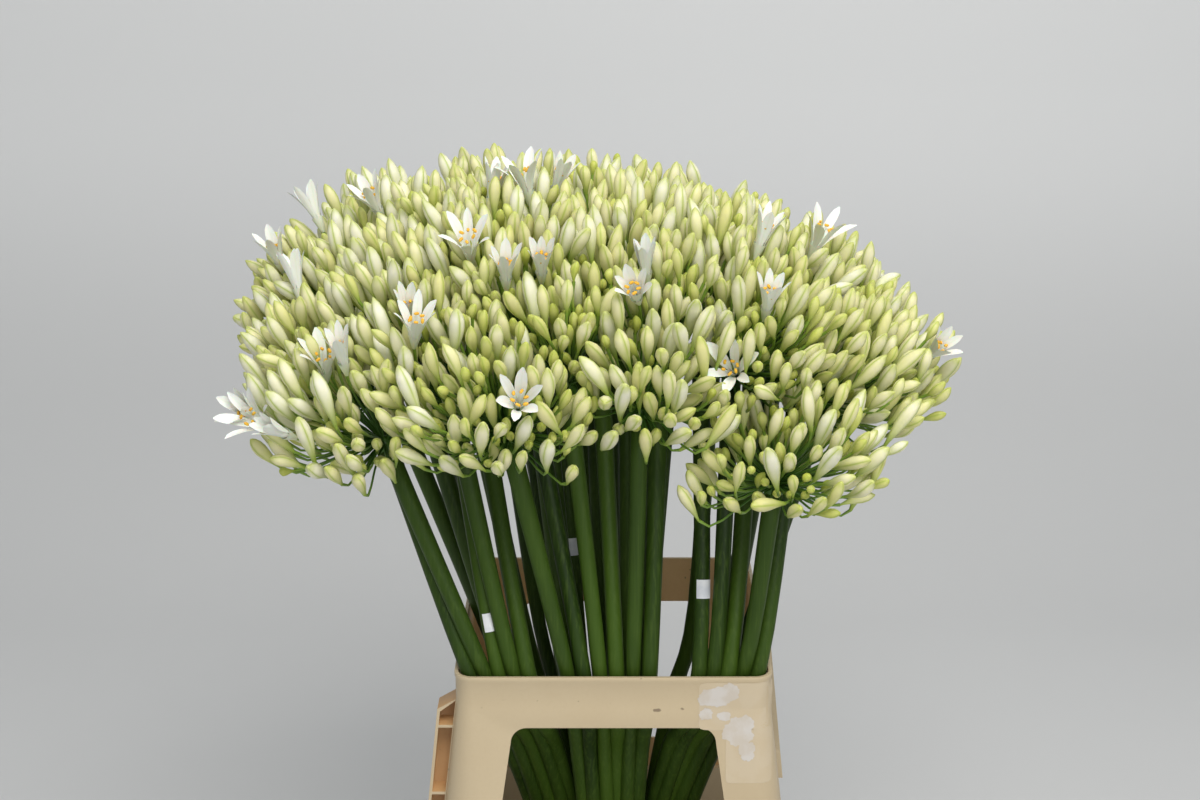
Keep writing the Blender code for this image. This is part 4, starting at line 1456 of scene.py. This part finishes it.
def make_umbel(number, head, bud_skin, stalk_skin, petal_skin, draw):
    buds = head["buds"]
    base = np.array(head["base"])
    axis = np.array(head["axis"])
    node = f"umbel_{number:02d}"
    plain = buds["open"] == PLAIN_BUD
    chosen = {label: value[plain] for label, value in buds.items()}
    points, faces, values = bud_mesh(chosen)
    closed = new_mesh(f"{node}_buds", points, faces, bud_skin, values=values)
    dress(closed, node)

    stand = buds["open"] != OPENED_BUD
    ends = buds["foot"][stand]
    ways = buds["way"][stand]
    aim = unit(ends - base)
    starts = base + aim * 0.004 - axis * 0.002
    spines = pedicel_spines(starts, ends + ways * 0.0006, unit(aim + axis * 0.25), ways)
    share = np.linspace(0, 1, PEDICEL_POINTS)
    radii = np.interp(share, (0, 0.8, 1), PEDICEL_RADIUS)
    points, faces = tube_mesh(spines, np.tile(radii, (len(spines), 1)), PEDICEL_SIDES)
    along = np.tile(np.repeat(share, PEDICEL_SIDES), len(spines))
    knob = np.array([[base - axis * drop for drop in KNOB_DROPS]])
    knob_points, knob_faces = tube_mesh(knob, np.array([KNOB_RADII]), SCAPE_SIDES)
    faces = faces + shifted(knob_faces, len(points))
    points = np.concatenate([points, knob_points])
    along = np.concatenate([along, np.full(len(knob_points), 0.35)])
    stalks = new_mesh(f"{node}_stalks", points, faces, stalk_skin, values={"along": along})
    dress(stalks)

    flowers = np.nonzero(buds["open"] >= 0)[0]
    if len(flowers):
        every, joined, parts = [], [], {"part": [], "along": [], "rib": []}
        start = 0
        for i in flowers:
            openness = OPEN_FLOWERS[buds["open"][i]][2]
            size = flower_size(openness)
            pts, fcs, vals = flower_mesh(buds["foot"][i], buds["way"][i], openness, size, draw)
            every.append(pts)
            joined.extend(shifted(fcs, start))
            for label in parts:
                parts[label].extend(vals[label])
            start += len(pts)
        opened = new_mesh(f"{node}_flowers", np.concatenate(every), joined, petal_skin, values=parts)
        dress(opened)


def main():
    bpy.context.scene.view_settings.view_transform = "Standard"
    bud_skin = bud_material()
    stalk_skin = stalk_material()
    petal_skin = petal_material()
    scape_skin = scape_material()
    cream = plastic_material("cream_plastic_skin", (0.60, 0.485, 0.315), (0.54, 0.42, 0.26))
    # Painted shade, tinted orange-brown, for the faces inside the ear pockets
    painted_pocket_shade = plastic_material("cream_plastic_painted_pocket_shade", (0.58, 0.36, 0.17), (0.46, 0.25, 0.10))
    # A painted warm glow of light through the translucent plastic, for the collar's inner faces
    painted_inner_glow = plastic_material("cream_plastic_painted_inner_glow", (0.80, 0.52, 0.26), (0.66, 0.40, 0.18))
    paper = paper_material("sticker_paper", (0.82, 0.83, 0.84), (0.66, 0.68, 0.72))
    torn = paper_material("torn_label", (0.63, 0.585, 0.535), (0.585, 0.52, 0.44))
    ghost = paper_material("label_glue", (0.60, 0.495, 0.345), (0.585, 0.475, 0.32))

    draw = np.random.default_rng(SEED)
    heads, bunches = place_heads()
    for head in heads:
        age_head(head, draw)
    grow_buds(heads, draw)
    choose_flowers(heads)
    for k, head in enumerate(heads):
        make_umbel(k + 1, head, bud_skin, stalk_skin, petal_skin, draw)

    routes = stem_routes(heads, bunches)
    swells = draw.uniform(*SCAPE_SWELL, HEADS)
    for name, members in bunches.items():
        scapes = make_scapes(f"scapes_{name}", members, routes, swells, scape_skin, draw)
        dress(scapes, f"stems_{name}")
    for number, (px, py) in enumerate(STEM_STICKERS):
        place, way, radius = scape_at_pixel(routes, swells, px, py)
        dress(make_sticker(f"sticker_{number + 1}", place, way, radius, paper))

    dress(make_bucket(cream), "bucket")
    dress(make_collar(cream, painted_pocket_shade, painted_inner_glow), "collar")
    for name, px, py, reach_x, reach_z, finish, layer in LABEL_SCRAPS:
        finish = torn if finish == "paper" else ghost
        patch = make_torn_patch(name, on_collar_front(px, py), reach_x, reach_z, layer, finish, draw)
        dress(patch)
    refinish("water", water_material())
    rubber = rubber_material()
    for name in BUNCHES:
        refinish(f"band_{name}", rubber)

    make_stage(stage_material())
    set_lights()
    set_camera()


main()
